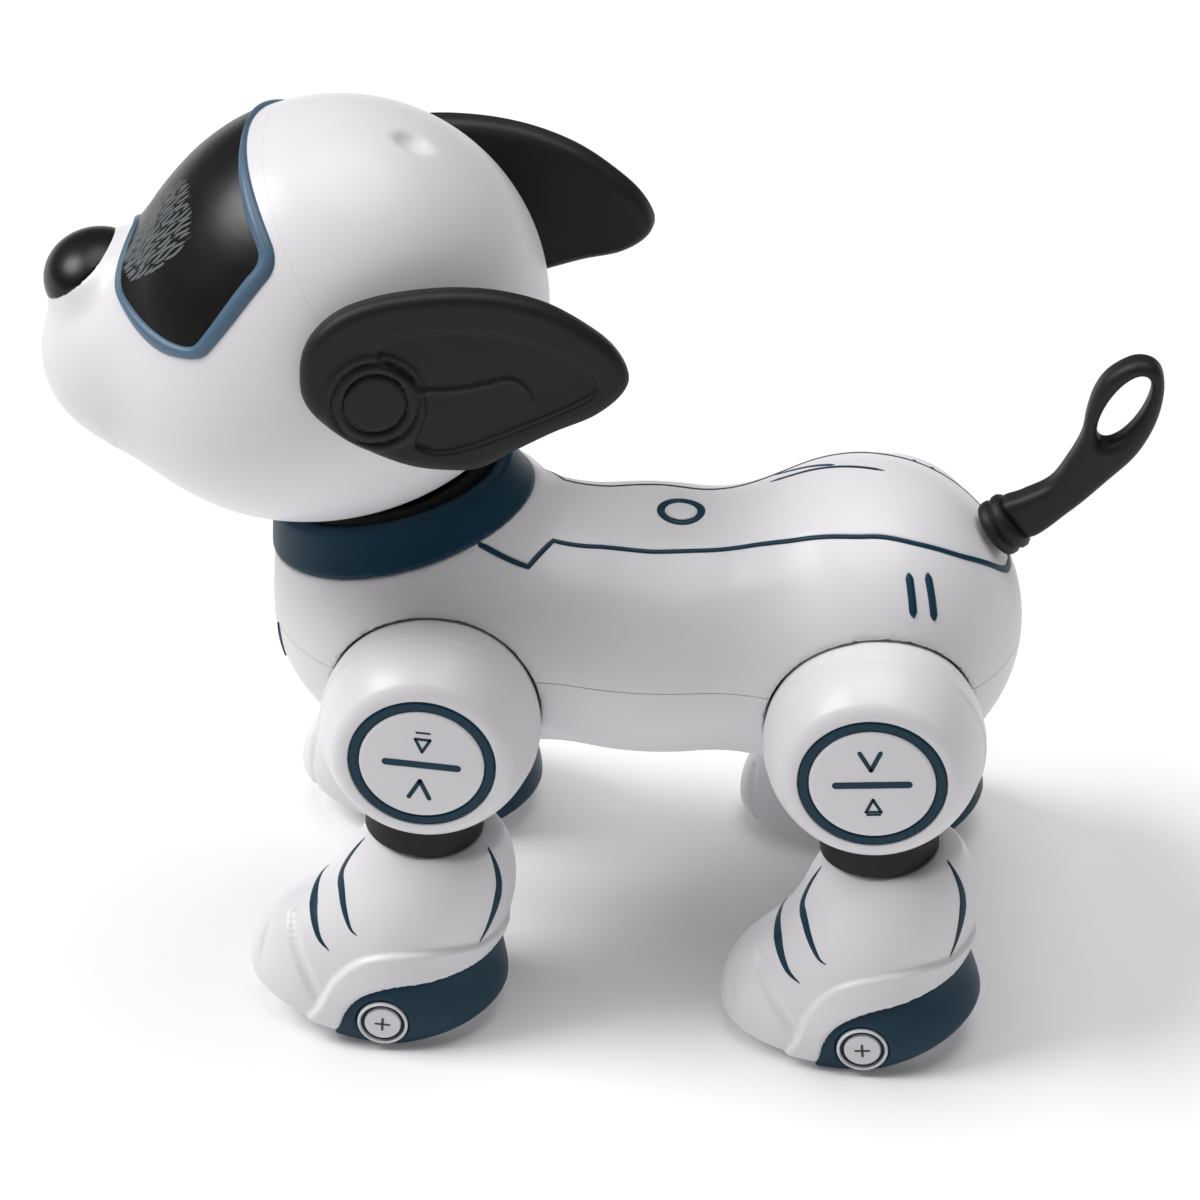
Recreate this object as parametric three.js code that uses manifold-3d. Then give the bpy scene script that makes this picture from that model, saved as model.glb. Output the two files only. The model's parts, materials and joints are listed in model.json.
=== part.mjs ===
// Toy quadruped robot dog: an assembly of moulded shells, rubber parts and drive units.
// Millimetres. +X is forward (the nose), +Y the dog's left, +Z up.
// Every piece is placed from a point on the floor under the torso, on the mid-plane; the whole dog
// is then moved back so that the origin is under the middle of its length.
import * as THREE from 'three';
import { mergeVertices } from 'three/addons/utils/BufferGeometryUtils.js';
import Module from 'manifold-3d';

const wasm = await Module();
wasm.setup();

// ---------- Driving dimensions ----------
const GAP = 0.35; // clearance between neighbouring pieces
const WALL = 2.2; // moulded shell thickness
const HIP_X = { front: 49.5, rear: -46.5 }; // hip axes
const HIP_Y = 38; // hip pod centres from the mid-plane
const POD_R = 24; // hip pod radius
const BADGE_Y = 14.8; // flat outer face of a pod, from the pod's centre
const BADGE_R = 13.1; // white disc in that face
const RING_R = 15.8; // blue ring around the disc
const WHEEL_R = 7.5;
const WHEEL_WIDTH = 10;
const AXLE_X = 4.8; // wheel axle ahead of the leg's own axis
const AXLE_DROP = 66.8; // wheel axle below the hip
const PAW_Y = 20.3; // outer face of a paw from the leg's own axis
const PAW_INNER_Y = -16.5; // flat inner face of a paw
const LEG_LEAN = { front: -4, rear: 4.5 }; // degrees about +Y; negative swings the paw forward
const POST_R = 13; // black ankle sleeve
const ANKLE_Z = -26.3; // underside of that sleeve, below the hip
const BODY_SEAM_Z = 82.8; // parting plane of the torso and the belly
const SKULL = [71.2, 0, 155.9];
const SKULL_R = 44.4;
const HEAD_SEAM = { tilt: -57.8, reach: 33.2 }; // parting plane of the head, through the ear pins
const NECK_TILT = 15; // the neck's pan axis leans this far forward
const COLLAR_LOW = { tilt: 15, reach: 116.6 }; // plane of the collar's lower edge
const COLLAR_HIGH = { tilt: 14, reach: 125.4 }; // and of its rim: degrees forward, then distance
const COLLAR_MIDDLE = [62, 0, 109.5]; // on the collar's own axis
const COLLAR_TILT = 14; // degrees that this axis leans forward
const FACE_TILT = 38; // the visor faces this many degrees above forward
const EAR_PIVOT = [59.6, 42.1, 157.7]; // inner face of the left ear on its pin axis
const EAR_SWEEP = 11; // degrees that the ears close towards the back
const EAR_LEAN = 6; // degrees that the ears' tops lean inwards
const EAR_THICK = 5.4;
const TAIL_ROOT = [-70, 0, 106]; // on the rump, under the middle of the tail's flange
const TAIL_RISE = 40; // degrees that the tail's root axis rises towards the back
const MIDDLE_X = 15.494; // middle of the nose-to-tail length, ahead of that point

const rad = THREE.MathUtils.degToRad;

// ---------- Solids ----------
// A closed solid from three.js geometry, moved by an optional matrix.
function solidOf(geometry, matrix) {
  const source = geometry.index ? geometry.toNonIndexed() : geometry;
  const bare = new THREE.BufferGeometry();
  bare.setAttribute('position', source.getAttribute('position').clone());
  if (matrix) bare.applyMatrix4(matrix);
  const merged = mergeVertices(bare, 1e-4);
  const corners = merged.index.array;
  const triangles = [];
  for (let i = 0; i < corners.length; i += 3) {
    const [a, b, c] = [corners[i], corners[i + 1], corners[i + 2]];
    if (a !== b && b !== c && c !== a) triangles.push(a, b, c);
  }
  const build = (triVerts) => new wasm.Manifold(new wasm.Mesh({
    numProp: 3,
    vertProperties: merged.getAttribute('position').array,
    triVerts: new Uint32Array(triVerts),
  }));
  const made = build(triangles);
  return made.volume() > 0 ? made : build(triangles.reverse());
}

function geometryOf(solid) {
  const { numProp, vertProperties, triVerts } = solid.getMesh();
  const points = [];
  for (let i = 0; i < vertProperties.length; i += numProp) {
    points.push(vertProperties[i], vertProperties[i + 1], vertProperties[i + 2]);
  }
  const geometry = new THREE.BufferGeometry();
  geometry.setAttribute('position', new THREE.Float32BufferAttribute(points, 3));
  geometry.setIndex(new THREE.BufferAttribute(triVerts, 1));
  return geometry;
}

// A rotation about X, then Y, then Z, in degrees, followed by a move.
const at = ([x, y, z], [rx, ry, rz] = [0, 0, 0]) => new THREE.Matrix4()
  .makeRotationFromEuler(new THREE.Euler(rad(rx), rad(ry), rad(rz), 'ZYX'))
  .setPosition(x, y, z);

const join = (...solids) => solids.reduce((a, b) => a.add(b));
const cut = (solid, ...tools) => tools.reduce((a, b) => a.subtract(b), solid);

const box = ([x0, y0, z0], [x1, y1, z1], place = new THREE.Matrix4()) => solidOf(
  new THREE.BoxGeometry(x1 - x0, y1 - y0, z1 - z0),
  place.clone().multiply(at([(x0 + x1) / 2, (y0 + y1) / 2, (z0 + z1) / 2])),
);

// A solid of revolution about +Z before the matrix; profile points are [radius, height].
function turned(profile, place = new THREE.Matrix4(), segments = 24) {
  const shape = new THREE.LatheGeometry(profile.map(([r, h]) => new THREE.Vector2(r, h)), segments);
  shape.applyMatrix4(at([0, 0, 0], [90, 0, 0]));
  return solidOf(shape, place);
}

// A cylinder along +Z before the matrix, between two heights.
const rod = (radius, low, high, place, segments = 20) => turned(
  [[0, low], [radius, low], [radius, high], [0, high]], place, segments,
);

// An outline in the XY plane, pushed along +Z before the matrix.
function prism(shape, low, high, place, steps = 4) {
  const made = new THREE.ExtrudeGeometry(shape, {
    depth: high - low, bevelEnabled: false, curveSegments: steps,
  });
  made.translate(0, 0, low);
  return solidOf(made, place);
}

const ball = (radius, centre, around = 24, along = 16) => solidOf(
  new THREE.SphereGeometry(radius, around, along), at(centre),
);

// The space between two parallel planes leaning `tilt` degrees about +Y, at these distances
// from the origin.
function slab(tilt, low, high) {
  const [size, middle] = [500, (low + high) / 2];
  const centre = [Math.sin(rad(tilt)) * middle, 0, Math.cos(rad(tilt)) * middle];
  return solidOf(new THREE.BoxGeometry(size, size, high - low), at(centre, [0, tilt, 0]));
}

// ---------- Rounded bodies as blended ellipsoids ----------
// Rough distance from a point to an ellipsoid leaning by `lean` degrees about +Y; negative inside.
function ellipsoid([cx, cy, cz], [rx, ry, rz], lean = 0) {
  const [c, s] = [Math.cos(rad(lean)), Math.sin(rad(lean))];
  return (x, y, z) => {
    const [dx, dy, dz] = [x - cx, y - cy, z - cz];
    const [lx, lz] = [dx * c - dz * s, dx * s + dz * c];
    const near = Math.hypot(lx / rx, dy / ry, lz / rz);
    const slope = Math.hypot(lx / rx ** 2, dy / ry ** 2, lz / rz ** 2);
    return slope < 1e-9 ? -Math.min(rx, ry, rz) : near * (near - 1) / slope;
  };
}

// Joins fields with a fillet of about `k` millimetres.
const blend = (k, ...fields) => (x, y, z) => fields.map((f) => f(x, y, z)).reduce((a, b) => {
  const h = Math.max(k - Math.abs(a - b), 0) / k;
  return Math.min(a, b) - h * h * k / 4;
});

// The closed skin of a field, `grow` millimetres outside it, seen from a point inside.
function blob(field, centre, [around, along], grow = 0) {
  const shape = new THREE.SphereGeometry(1, around, along);
  const spots = shape.getAttribute('position');
  const way = new THREE.Vector3();
  for (let i = 0; i < spots.count; i += 1) {
    way.fromBufferAttribute(spots, i).normalize();
    let [near, far] = [0, 150];
    for (let step = 0; step < 32; step += 1) {
      const middle = (near + far) / 2;
      const [x, y, z] = [0, 1, 2].map((k) => centre[k] + way.getComponent(k) * middle);
      if (field(x, y, z) < grow) near = middle;
      else far = middle;
    }
    spots.setXYZ(i, ...[0, 1, 2].map((k) => centre[k] + way.getComponent(k) * near));
  }
  return solidOf(shape);
}

// The same for a body drawn out along +X: rings around a spine through `centre`.
function longBlob(field, [cx, cy, cz], [around, along], grow = 0) {
  const reach = (inside, limit) => {
    let [near, far] = [0, limit];
    for (let step = 0; step < 32; step += 1) {
      const middle = (near + far) / 2;
      if (inside(middle)) near = middle;
      else far = middle;
    }
    return near;
  };
  const front = cx + reach((d) => field(cx + d, cy, cz) < grow, 200);
  const back = cx - reach((d) => field(cx - d, cy, cz) < grow, 200);
  const shape = new THREE.SphereGeometry(1, around, along);
  shape.rotateZ(-Math.PI / 2);
  const spots = shape.getAttribute('position');
  for (let i = 0; i < spots.count; i += 1) {
    const x = (front + back) / 2 + spots.getX(i) * (front - back) / 2;
    const side = Math.hypot(spots.getY(i), spots.getZ(i));
    const [uy, uz] = side < 1e-6 ? [0, 0] : [spots.getY(i) / side, spots.getZ(i) / side];
    const r = side < 1e-6 ? 0 : reach((d) => field(x, cy + uy * d, cz + uz * d) < grow, 100);
    spots.setXYZ(i, x, cy + uy * r, cz + uz * r);
  }
  return solidOf(shape);
}

// ---------- Materials ----------
const paint = (color, roughness, metalness = 0) => new THREE.MeshStandardMaterial({
  color, roughness, metalness,
});
const FINISH = {
  white: paint(0xe9e6e8, 0.42),
  blue: paint(0x1d3b53, 0.45),
  trim: paint(0x5f7f9f, 0.4),
  black: paint(0x1b1b1a, 0.6),
  gloss: paint(0x0c0c0c, 0.15),
  board: paint(0x1f6b3a, 0.6),
  metal: paint(0xb8bcc0, 0.35, 1),
  cell: paint(0x3a6ea5, 0.5),
};

const dog = new THREE.Group();

function add(parent, name, solid, material) {
  const mesh = new THREE.Mesh(geometryOf(solid), material);
  mesh.name = name;
  parent.add(mesh);
}

// ---------- Legs ----------
// A leg is modelled with its hip centre at the origin, +X forward, +Y outward.
const outward = at([0, 0, 0], [-90, 0, 0]); // turns +Z into +Y
const axlePlace = at([AXLE_X, 0, -AXLE_DROP], [-90, 0, 0]);
const pawField = blend(
  9,
  ellipsoid([-0.8, 0.3, -44.3], [19.3, 17.5, 26], -20),
  ellipsoid([10.8, 0.8, -65.3], [26.5, 18.6, 22], 7),
  ellipsoid([-0.5, 0.8, -66.5], [19, 18.6, 11]),
);
const pawCentre = [3, 1, -54];
const pawSkin = (grow, mesh = [14, 9]) => blob(pawField, pawCentre, mesh, grow);

function hipShell() {
  const profile = [[0, -POD_R]];
  const [steps, edge] = [5, Math.asin(13.2 / POD_R)];
  for (let i = 1; i <= steps; i += 1) {
    const turn = -Math.PI / 2 + (Math.PI / 2 + edge) * (i / steps);
    profile.push([POD_R * Math.cos(turn), POD_R * Math.sin(turn)]);
  }
  profile.push([18.9, 14.4], [17.4, BADGE_Y], [0, BADGE_Y]);
  return join(
    cut(
      turned(profile, outward, 18),
      turned([[0, -16], [15, -11], [17, 9], [0, 9]], outward, 8),
      rod(RING_R + GAP, BADGE_Y - 2.2, 30, outward, 18),
      rod(9, 0, 20, outward, 8),
      rod(6.5, -30, -10, undefined, 10),
    ),
    rod(4, -POD_R - 9, -15, outward, 8),
  );
}

const hipRing = () => cut(
  rod(RING_R, BADGE_Y - 2, BADGE_Y, outward, 18),
  rod(BADGE_R + GAP, 0, 30, outward, 18),
);

const hipBadge = () => turned(
  [[0, BADGE_Y - 1.9], [BADGE_R, BADGE_Y - 1.9], [BADGE_R, BADGE_Y + 0.3], [0, BADGE_Y + 0.3]],
  outward, 18,
);

const anklePost = () => join(
  cut(rod(POST_R, ANKLE_Z, -17, undefined, 16), ball(POD_R + 1, [0, 0, 0], 16, 10)),
  rod(6, -36, -18, undefined, 10),
);

// The heel cover's outline in the leg's side view (x, z), grown by `by`.
function heelOutline(by = 0) {
  const shape = new THREE.Shape();
  shape.moveTo(4, -80);
  shape.lineTo(12 + by, -80);
  shape.bezierCurveTo(16 + by, -74, 17 + by, -66, 12, -62 + by);
  shape.bezierCurveTo(7, -58.5 + by, -6, -58.5 + by, -13, -54.5 + by);
  shape.bezierCurveTo(-17, -52 + by, -19, -49.5 + by, -22, -47 + by);
  shape.lineTo(-32, -44 + by);
  shape.lineTo(-32, -80);
  shape.closePath();
  return shape;
}

// A column through that outline, from y = `from` outward.
const heelColumn = (by, from) => prism(heelOutline(by), -60, -from, at([0, 0, 0], [90, 0, 0]), 2);
const heelDepth = 2.6;

// Everything above a gently rocking sole whose lowest line is `drop` below the axle.
const aboveSole = (drop) => rod(
  120, -60, 60, at([AXLE_X, 0, 120 - AXLE_DROP - drop], [-90, 0, 0]), 90,
);

function pawShell() {
  const well = join(
    rod(WHEEL_R + 1.6, -WHEEL_WIDTH / 2 - 1, WHEEL_WIDTH / 2 + 1, axlePlace, 10),
    box([AXLE_X - 9.1, -6, -80], [AXLE_X + 9.1, 6, -AXLE_DROP]),
  );
  const hollow = blob(pawField, pawCentre, [6, 5], -3.2)
    .intersect(box([-60, PAW_INNER_Y + 2.4, -AXLE_DROP + 12], [60, 15, ANKLE_Z - 3]));
  const rim = cut(heelColumn(GAP, -60), pawSkin(-heelDepth - GAP));
  return cut(
    pawSkin(0).intersect(aboveSole(4.8)),
    box([-60, -60, -100], [60, PAW_INNER_Y, 0]),
    box([-60, -60, ANKLE_Z - GAP], [60, 60, 0]),
    rod(6.5, -44, 0, undefined, 10),
    hollow,
    well,
    rod(2.1, -30, 30, axlePlace, 6),
    rim,
  );
}

const heelCover = () => cut(
  heelColumn(0, -60).intersect(pawSkin(0.5)).intersect(aboveSole(6.3)),
  pawSkin(-heelDepth),
  box([-60, -60, -100], [60, PAW_INNER_Y, 0]),
  rod(6.2, PAW_Y - 1.6, 40, axlePlace, 14),
  rod(2.1, -30, 30, axlePlace, 6),
  rod(WHEEL_R + 1.6, -WHEEL_WIDTH / 2 - 1, WHEEL_WIDTH / 2 + 1, axlePlace, 10),
);

function wheel() {
  const [half, r] = [WHEEL_WIDTH / 2, WHEEL_R];
  const tread = [[1.85, -half], [r - 0.9, -half], [r, -half + 0.9], [r, half - 0.9]];
  return turned([...tread, [r - 0.9, half], [1.85, half], [1.85, -half]], axlePlace, 16);
}

const wheelAxle = () => turned([
  [0, -15.5], [1.4, -15.5], [1.4, PAW_Y - 1.2], [5.7, PAW_Y - 1.2], [5.7, PAW_Y + 0.7],
  [0, PAW_Y + 0.7],
], axlePlace, 14);

const legParts = [
  ['hip_shell', hipShell(), FINISH.white],
  ['hip_ring', hipRing(), FINISH.blue],
  ['hip_badge', hipBadge(), FINISH.white],
  ['ankle_post', anklePost(), FINISH.black],
  ['paw_shell', pawShell(), FINISH.white],
  ['heel_cover', heelCover(), FINISH.blue],
  ['wheel', wheel(), FINISH.black],
  ['wheel_axle', wheelAxle(), FINISH.white],
];

// The height that puts a leaning leg's wheel on the floor.
function hipHeight(end) {
  const lean = rad(LEG_LEAN[end]);
  return WHEEL_R + AXLE_X * Math.sin(lean) + AXLE_DROP * Math.cos(lean);
}

const hips = [];
for (const end of ['front', 'rear']) {
  for (const [side, mirror] of [['left', 1], ['right', -1]]) {
    const leg = new THREE.Group();
    leg.position.set(HIP_X[end], mirror * HIP_Y, hipHeight(end));
    leg.rotation.y = rad(LEG_LEAN[end]);
    leg.scale.y = mirror;
    for (const [part, solid, finish] of legParts) add(leg, `${end}_${side}_${part}`, solid, finish);
    dog.add(leg);
    hips.push({ name: `${end}_${side}`, place: leg.position.toArray(), mirror });
  }
}

// ---------- Torso ----------
const bodyField = blend(
  12,
  ellipsoid([52, 0, 82.5], [36.5, 37, 33]),
  ellipsoid([4, 0, 80], [50, 35.5, 27.5]),
  ellipsoid([-42, 0, 83], [35.5, 39, 34.5]),
  ellipsoid([60.5, 0, 108.5], [26.5, 22, 28], 18),
);
const bodyCentre = [8, 0, 82];
const bodyOuter = longBlob(bodyField, bodyCentre, [22, 16]);
const bodyWall = bodyOuter.subtract(longBlob(bodyField, bodyCentre, [12, 10], -WALL - 0.5));

// Spherical dishes that the hip pods turn in, closed behind except for the drive bosses.
const SOCKET_R = POD_R + 1.6;
const dishes = hips.map(({ place }) => ball(SOCKET_R + WALL, place, 10, 7).intersect(bodyOuter));
const sockets = hips.map(({ place }) => ball(SOCKET_R, place, 14, 9));
const bosses = hips.map(({ place, mirror }) => rod(4.8, -40, 0, at(place, [-90 * mirror, 0, 0]), 8));
const casing = cut(join(bodyWall, ...dishes), ...sockets, ...bosses);

const collarAxis = at(COLLAR_MIDDLE, [0, COLLAR_TILT, 0]);
const neckAxis = at(SKULL, [0, NECK_TILT, 0]);
const neckBore = rod(18.7, -14, 60, collarAxis, 18);
const belowCollar = slab(COLLAR_LOW.tilt, -200, COLLAR_LOW.reach - GAP);

// The back cover's outline from above, from the collar to the tail, grown by `by`.
function backOutline(by = 0) {
  const side = [[64, 20], [30, 20], [25, 12.4], [16, 12.2]];
  const curve = [[16, 12.2], [3, 13.4], [-12, 12.6], [-28, 15.6], [-42, 17.4], [-55, 16.2], [-64, 13]];
  const shape = new THREE.Shape();
  side.forEach(([x, y], i) => (i ? shape.lineTo(x, y + by) : shape.moveTo(x, y + by)));
  shape.splineThru(curve.slice(1).map(([x, y]) => new THREE.Vector2(x, y + by)));
  shape.bezierCurveTo(-70.5 - by, 9.8 + by, -73.8 - by, 4.5, -73.8 - by, 0);
  shape.bezierCurveTo(-73.8 - by, -4.5, -70.5 - by, -9.8 - by, -64, -13 - by);
  shape.splineThru(curve.slice(0, -1).reverse().map(([x, y]) => new THREE.Vector2(x, -y - by)));
  side.slice(0, -1).reverse().forEach(([x, y]) => shape.lineTo(x, -y - by));
  return shape;
}
const backColumn = (by) => prism(backOutline(by), 96 - by, 200, undefined, 2);

const BUTTON = [-1.9, 0, 107]; // back button's top face
const tailPlace = at(TAIL_ROOT, [0, TAIL_RISE - 90, 0]);
const tailHole = rod(4.3, -20, 20, tailPlace, 12);

const upper = slab(0, BODY_SEAM_Z + GAP / 2, 300);
const lower = slab(0, -100, BODY_SEAM_Z - GAP / 2);
const DOOR = { x0: -28, x1: 14, y: 13, z: 51.4 }; // battery door in the belly
const SWITCH = { x: 27, travel: 3 };

add(dog, 'torso_shell', cut(
  casing.intersect(belowCollar).intersect(upper), backColumn(GAP), tailHole, neckBore,
), FINISH.white);

add(dog, 'back_cover', cut(
  casing.intersect(belowCollar).intersect(backColumn(0)),
  rod(5.7, 80, 130, at([BUTTON[0], 0, 0]), 16), tailHole, neckBore,
), FINISH.white);

const doorHole = box([DOOR.x0 - GAP, -DOOR.y - GAP, 20], [DOOR.x1 + GAP, DOOR.y + GAP, 60]);
const switchHole = box([SWITCH.x - 3.4, -1.7, 30], [SWITCH.x + 3.4, 1.7, 60]);
add(dog, 'belly_shell', cut(casing.intersect(lower), doorHole, switchHole), FINISH.white);

add(dog, 'battery_door', box(
  [DOOR.x0, -DOOR.y, DOOR.z], [DOOR.x1, DOOR.y, DOOR.z + 2],
), FINISH.white);

add(dog, 'neck_collar', cut(
  bodyOuter.intersect(slab(COLLAR_LOW.tilt, COLLAR_LOW.reach, 300)),
  slab(COLLAR_HIGH.tilt, COLLAR_HIGH.reach, 300),
  neckBore,
), FINISH.blue);

// ---------- Torso contents and controls ----------
add(dog, 'back_button', turned(
  [[0, -6], [2.2, -6], [2.2, -2.2], [5.3, -2.2], [5.3, 0.5], [0, 0.6]], at(BUTTON), 16,
), FINISH.blue);

const switchX = SWITCH.x - SWITCH.travel / 2;
add(dog, 'power_switch', join(
  box([switchX - 1.4, -1.3, 50.8], [switchX + 1.4, 1.3, 58]),
  box([switchX - 5, -3, 57.4], [switchX + 5, 3, 58.6]),
), FINISH.black);
add(dog, 'battery_pack', box([-27, -12, 55], [13, 12, 70]), FINISH.cell);
add(dog, 'main_board', box([-34, -17, 88], [26, 17, 89.6]), FINISH.board);
add(dog, 'speaker', turned(
  [[0, 0], [9.5, 0], [9.5, 2], [6, 4.5], [0, 4.5]], at([-44, 0, 55.5]), 14,
), FINISH.black);

for (const { name, place: [x, y, z], mirror } of hips) {
  const inner = HIP_Y - SOCKET_R - WALL - 0.5;
  const [y0, y1] = mirror > 0 ? [1.5, inner] : [-inner, -1.5];
  add(dog, `${name}_hip_motor`, cut(
    box([x - 11, y0, z - 12], [x + 11, y1, z + 8]),
    rod(4.5, -45, 0, at([x, y, z], [-90 * mirror, 0, 0]), 8),
  ), FINISH.metal);
}

// ---------- Neck ----------
add(dog, 'neck_cup', cut(
  turned([[0, -12], [18.2, -12], [18.2, 19], [0, 19]], collarAxis, 18),
  ball(SKULL_R + 4.6, SKULL, 22, 14),
  rod(7.7, -80, 0, neckAxis, 10),
), FINISH.black);
add(dog, 'neck_motor', cut(
  box([-11, -10, -70], [11, 10, -61], neckAxis),
  rod(4.5, -90, -50, neckAxis, 10),
), FINISH.metal);
add(dog, 'neck_post', turned([
  [0, -68], [4, -68], [4, -59], [6.6, -59], [6.6, -38.2], [9.6, -38.2], [9.6, -35.8],
  [0, -35.8],
], neckAxis, 10), FINISH.black);

// ---------- Head ----------
const headField = blend(
  10,
  ellipsoid(SKULL, [SKULL_R, SKULL_R - 1.4, SKULL_R + 0.4]),
  ellipsoid([114, 0, 144], [22.5, 26, 20.5]),
  ellipsoid([84, 0, 145.5], [38.5, 42.5, 34.8]),
);
const headCentre = [80, 0, 153];
const HEAD_MESH = [22, 14];
const headOuter = blob(headField, headCentre, HEAD_MESH);
const headInner = blob(headField, headCentre, [12, 8], -WALL - 0.5);

// Across the face, up the face, and out of it.
const facePlace = at(SKULL, [0, -FACE_TILT, 0]).multiply(at([0, 0, 0], [90, 0, 90]));

// Half of the trim's outer edge, from the brow's middle round to the bridge of the muzzle: a first
// point, then a curve's two handles and its end on each line.
const TRIM_OUTER = [
  [0, 22.2],
  [10, 22.2, 24, 21, 31, 18.2],
  [33.6, 17, 34.8, 15, 35.6, 12],
  [37, 7, 38.6, 0, 38.8, -7],
  [38.8, -9.6, 37.6, -12, 35, -15],
  [31.5, -18.6, 26, -19.6, 19, -20.4],
  [12, -22, 8.5, -20, 0, -17.5],
];
const TRIM_INNER = [
  [0, 20.4],
  [8, 20.2, 20, 18, 30.5, 15.2],
  [32.8, 14.6, 33.4, 12, 33.8, 10],
  [35.2, 4.5, 36.6, -2, 36.8, -7.4],
  [36.9, -9, 35.9, -10.6, 33.6, -12.4],
  [30, -15, 25, -16.6, 19, -18],
  [13, -19, 8.5, -18, 0, -15],
];

// An outline between those two: 0 is the trim's outer edge, 1 its inner edge.
function visorOutline(share) {
  const half = TRIM_OUTER.map((row, i) => row.map((v, k) => v + (TRIM_INNER[i][k] - v) * share));
  const shape = new THREE.Shape();
  shape.moveTo(...half[0]);
  half.slice(1).forEach((curve) => shape.bezierCurveTo(...curve));
  for (let i = half.length - 1; i > 0; i -= 1) {
    const [ax, ay, bx, by] = half[i];
    const [ex, ey] = half[i - 1].slice(-2);
    shape.bezierCurveTo(-bx, by, -ax, ay, -ex, ey);
  }
  return shape;
}
const visorColumn = (share) => prism(visorOutline(share), 4, 90, facePlace, 2);
const SLIT = 0.18; // clearance in those shares
const faceSkin = (low, high) => blob(headField, headCentre, HEAD_MESH, high)
  .subtract(blob(headField, headCentre, [12, 8], low - 0.3));
add(dog, 'visor', faceSkin(-1.8, 0.3).intersect(visorColumn(1)), FINISH.gloss);
add(dog, 'visor_trim', faceSkin(-1.8, 0.8).intersect(visorColumn(0))
  .subtract(visorColumn(1 - SLIT)), FINISH.trim);

const noseCentre = [124.7, 0, 160];
add(dog, 'nose', blob(ellipsoid(noseCentre, [10.5, 13, 9.6]), noseCentre, [14, 9])
  .subtract(blob(headField, headCentre, HEAD_MESH, GAP)), FINISH.gloss);

const frontHead = slab(HEAD_SEAM.tilt, -300, HEAD_SEAM.reach - GAP / 2);
const backHead = slab(HEAD_SEAM.tilt, HEAD_SEAM.reach + GAP / 2, 300);
const earPlace = (mirror) => new THREE.Matrix4().makeScale(1, mirror, 1)
  .multiply(at(EAR_PIVOT, [EAR_LEAN, 0, EAR_SWEEP]).multiply(at([0, 0, 0], [-90, 0, 0])));
const earBores = [1, -1].map((mirror) => rod(3.6, -12, 10, earPlace(mirror), 10));
const headWall = cut(
  headOuter, headInner, visorColumn(-SLIT), rod(7.2, -60, 0, neckAxis, 10), ...earBores,
);
add(dog, 'face_shell', headWall.intersect(frontHead), FINISH.white);
add(dog, 'skull_shell', headWall.intersect(backHead), FINISH.white);
add(dog, 'led_board', box([-20, -12, 24], [20, 10, 25.6], facePlace), FINISH.board);

// ---------- Ears ----------
// Drawn with the pin at the origin, -X towards the tip, +Y down and +Z out of the head.
const earPath = (points) => {
  const shape = new THREE.Shape();
  points.forEach((p, i) => {
    const flipped = p.map((value) => -value);
    if (!i) shape.moveTo(...flipped);
    else shape.bezierCurveTo(...flipped);
  });
  return shape;
};

function earOutline(by = 0) {
  return earPath([
    [-14.2 - by, 3],
    [-14.2 - by, 17, -3, 23.4 + by, 16, 23.4 + by],
    [33, 23.4 + by, 52.5 + by, 13, 53.3 + by, 2.4],
    [53.4 + by, -6.5, 38, -8 - by, 29, -12.6 - by],
    [24, -15.4 - by, 21, -16.4 - by, 17, -16.4 - by],
    [6, -16.4 - by, -14.2 - by, -5, -14.2 - by, 3],
  ]);
}

const earPanel = () => earPath([
  [2.2, 10.1],
  [-0.5, 13, 3, 14.9, 10, 15.1],
  [24, 15.6, 38, 11, 45.3, 4.1],
  [47.5, 1.5, 44, -1.3, 41.1, -2.6],
  [34, -5.6, 26, -9, 18, -10.8],
  [12, -12, 8, -10.5, 8.8, -8.8],
  [13.5, -3, 12.5, 4, 2.2, 10.1],
]);

function earSolid() {
  const rim = 1.8;
  const leaf = new THREE.ExtrudeGeometry(earOutline(-rim), {
    depth: EAR_THICK - 2 * rim,
    bevelSize: rim,
    bevelThickness: rim,
    bevelSegments: 1,
    curveSegments: 4,
  });
  leaf.translate(0, 0, rim);
  return cut(
    solidOf(leaf),
    prism(earPanel(), EAR_THICK - 0.9, 20, undefined, 3),
    rod(6.8, EAR_THICK - 1, 20, undefined, 16),
    rod(3.4, -20, 20, undefined, 10),
  );
}

const earPin = () => turned([
  [0, -8], [2.9, -8], [2.9, EAR_THICK - 0.65], [6.3, EAR_THICK - 0.65], [6.3, EAR_THICK + 0.2],
  [0, EAR_THICK + 0.2],
], undefined, 14);

for (const [side, mirror] of [['left', 1], ['right', -1]]) {
  const ear = new THREE.Group();
  ear.applyMatrix4(earPlace(mirror));
  add(ear, `ear_${side}`, earSolid(), FINISH.black);
  add(ear, `ear_pin_${side}`, earPin(), FINISH.black);
  dog.add(ear);
}

// ---------- Tail ----------
// The stalk and its loop in the mid-plane, as (x, z).
function tailOutline(by = 0) {
  const shape = new THREE.Shape();
  shape.moveTo(-71.3, 113.2);
  shape.bezierCurveTo(-75.5, 116 + by, -81.5 + by, 119.5 + by, -84.6 + by, 125);
  shape.bezierCurveTo(-88 + by, 131.5, -87.5 + by, 137.5, -89.6 + by, 143);
  shape.bezierCurveTo(-91.2 + by, 147 + by, -94, 149.6 + by, -97.6, 150.6 + by);
  shape.bezierCurveTo(-101.6, 151.4 + by, -104 - by, 149, -104.1 - by, 145);
  shape.bezierCurveTo(-104.2 - by, 136, -99.8 - by, 128 - by, -93.6 - by, 121 - by);
  shape.bezierCurveTo(-89.5 - by, 116.5 - by, -83.5, 110.6 - by, -77.4, 105.9);
  shape.closePath();
  const hole = new THREE.Path();
  hole.absellipse(-96, 138.8, 3.8 - by, 9.2 - by, 0, Math.PI * 2, false, rad(27));
  shape.holes.push(hole);
  return shape;
}

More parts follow.
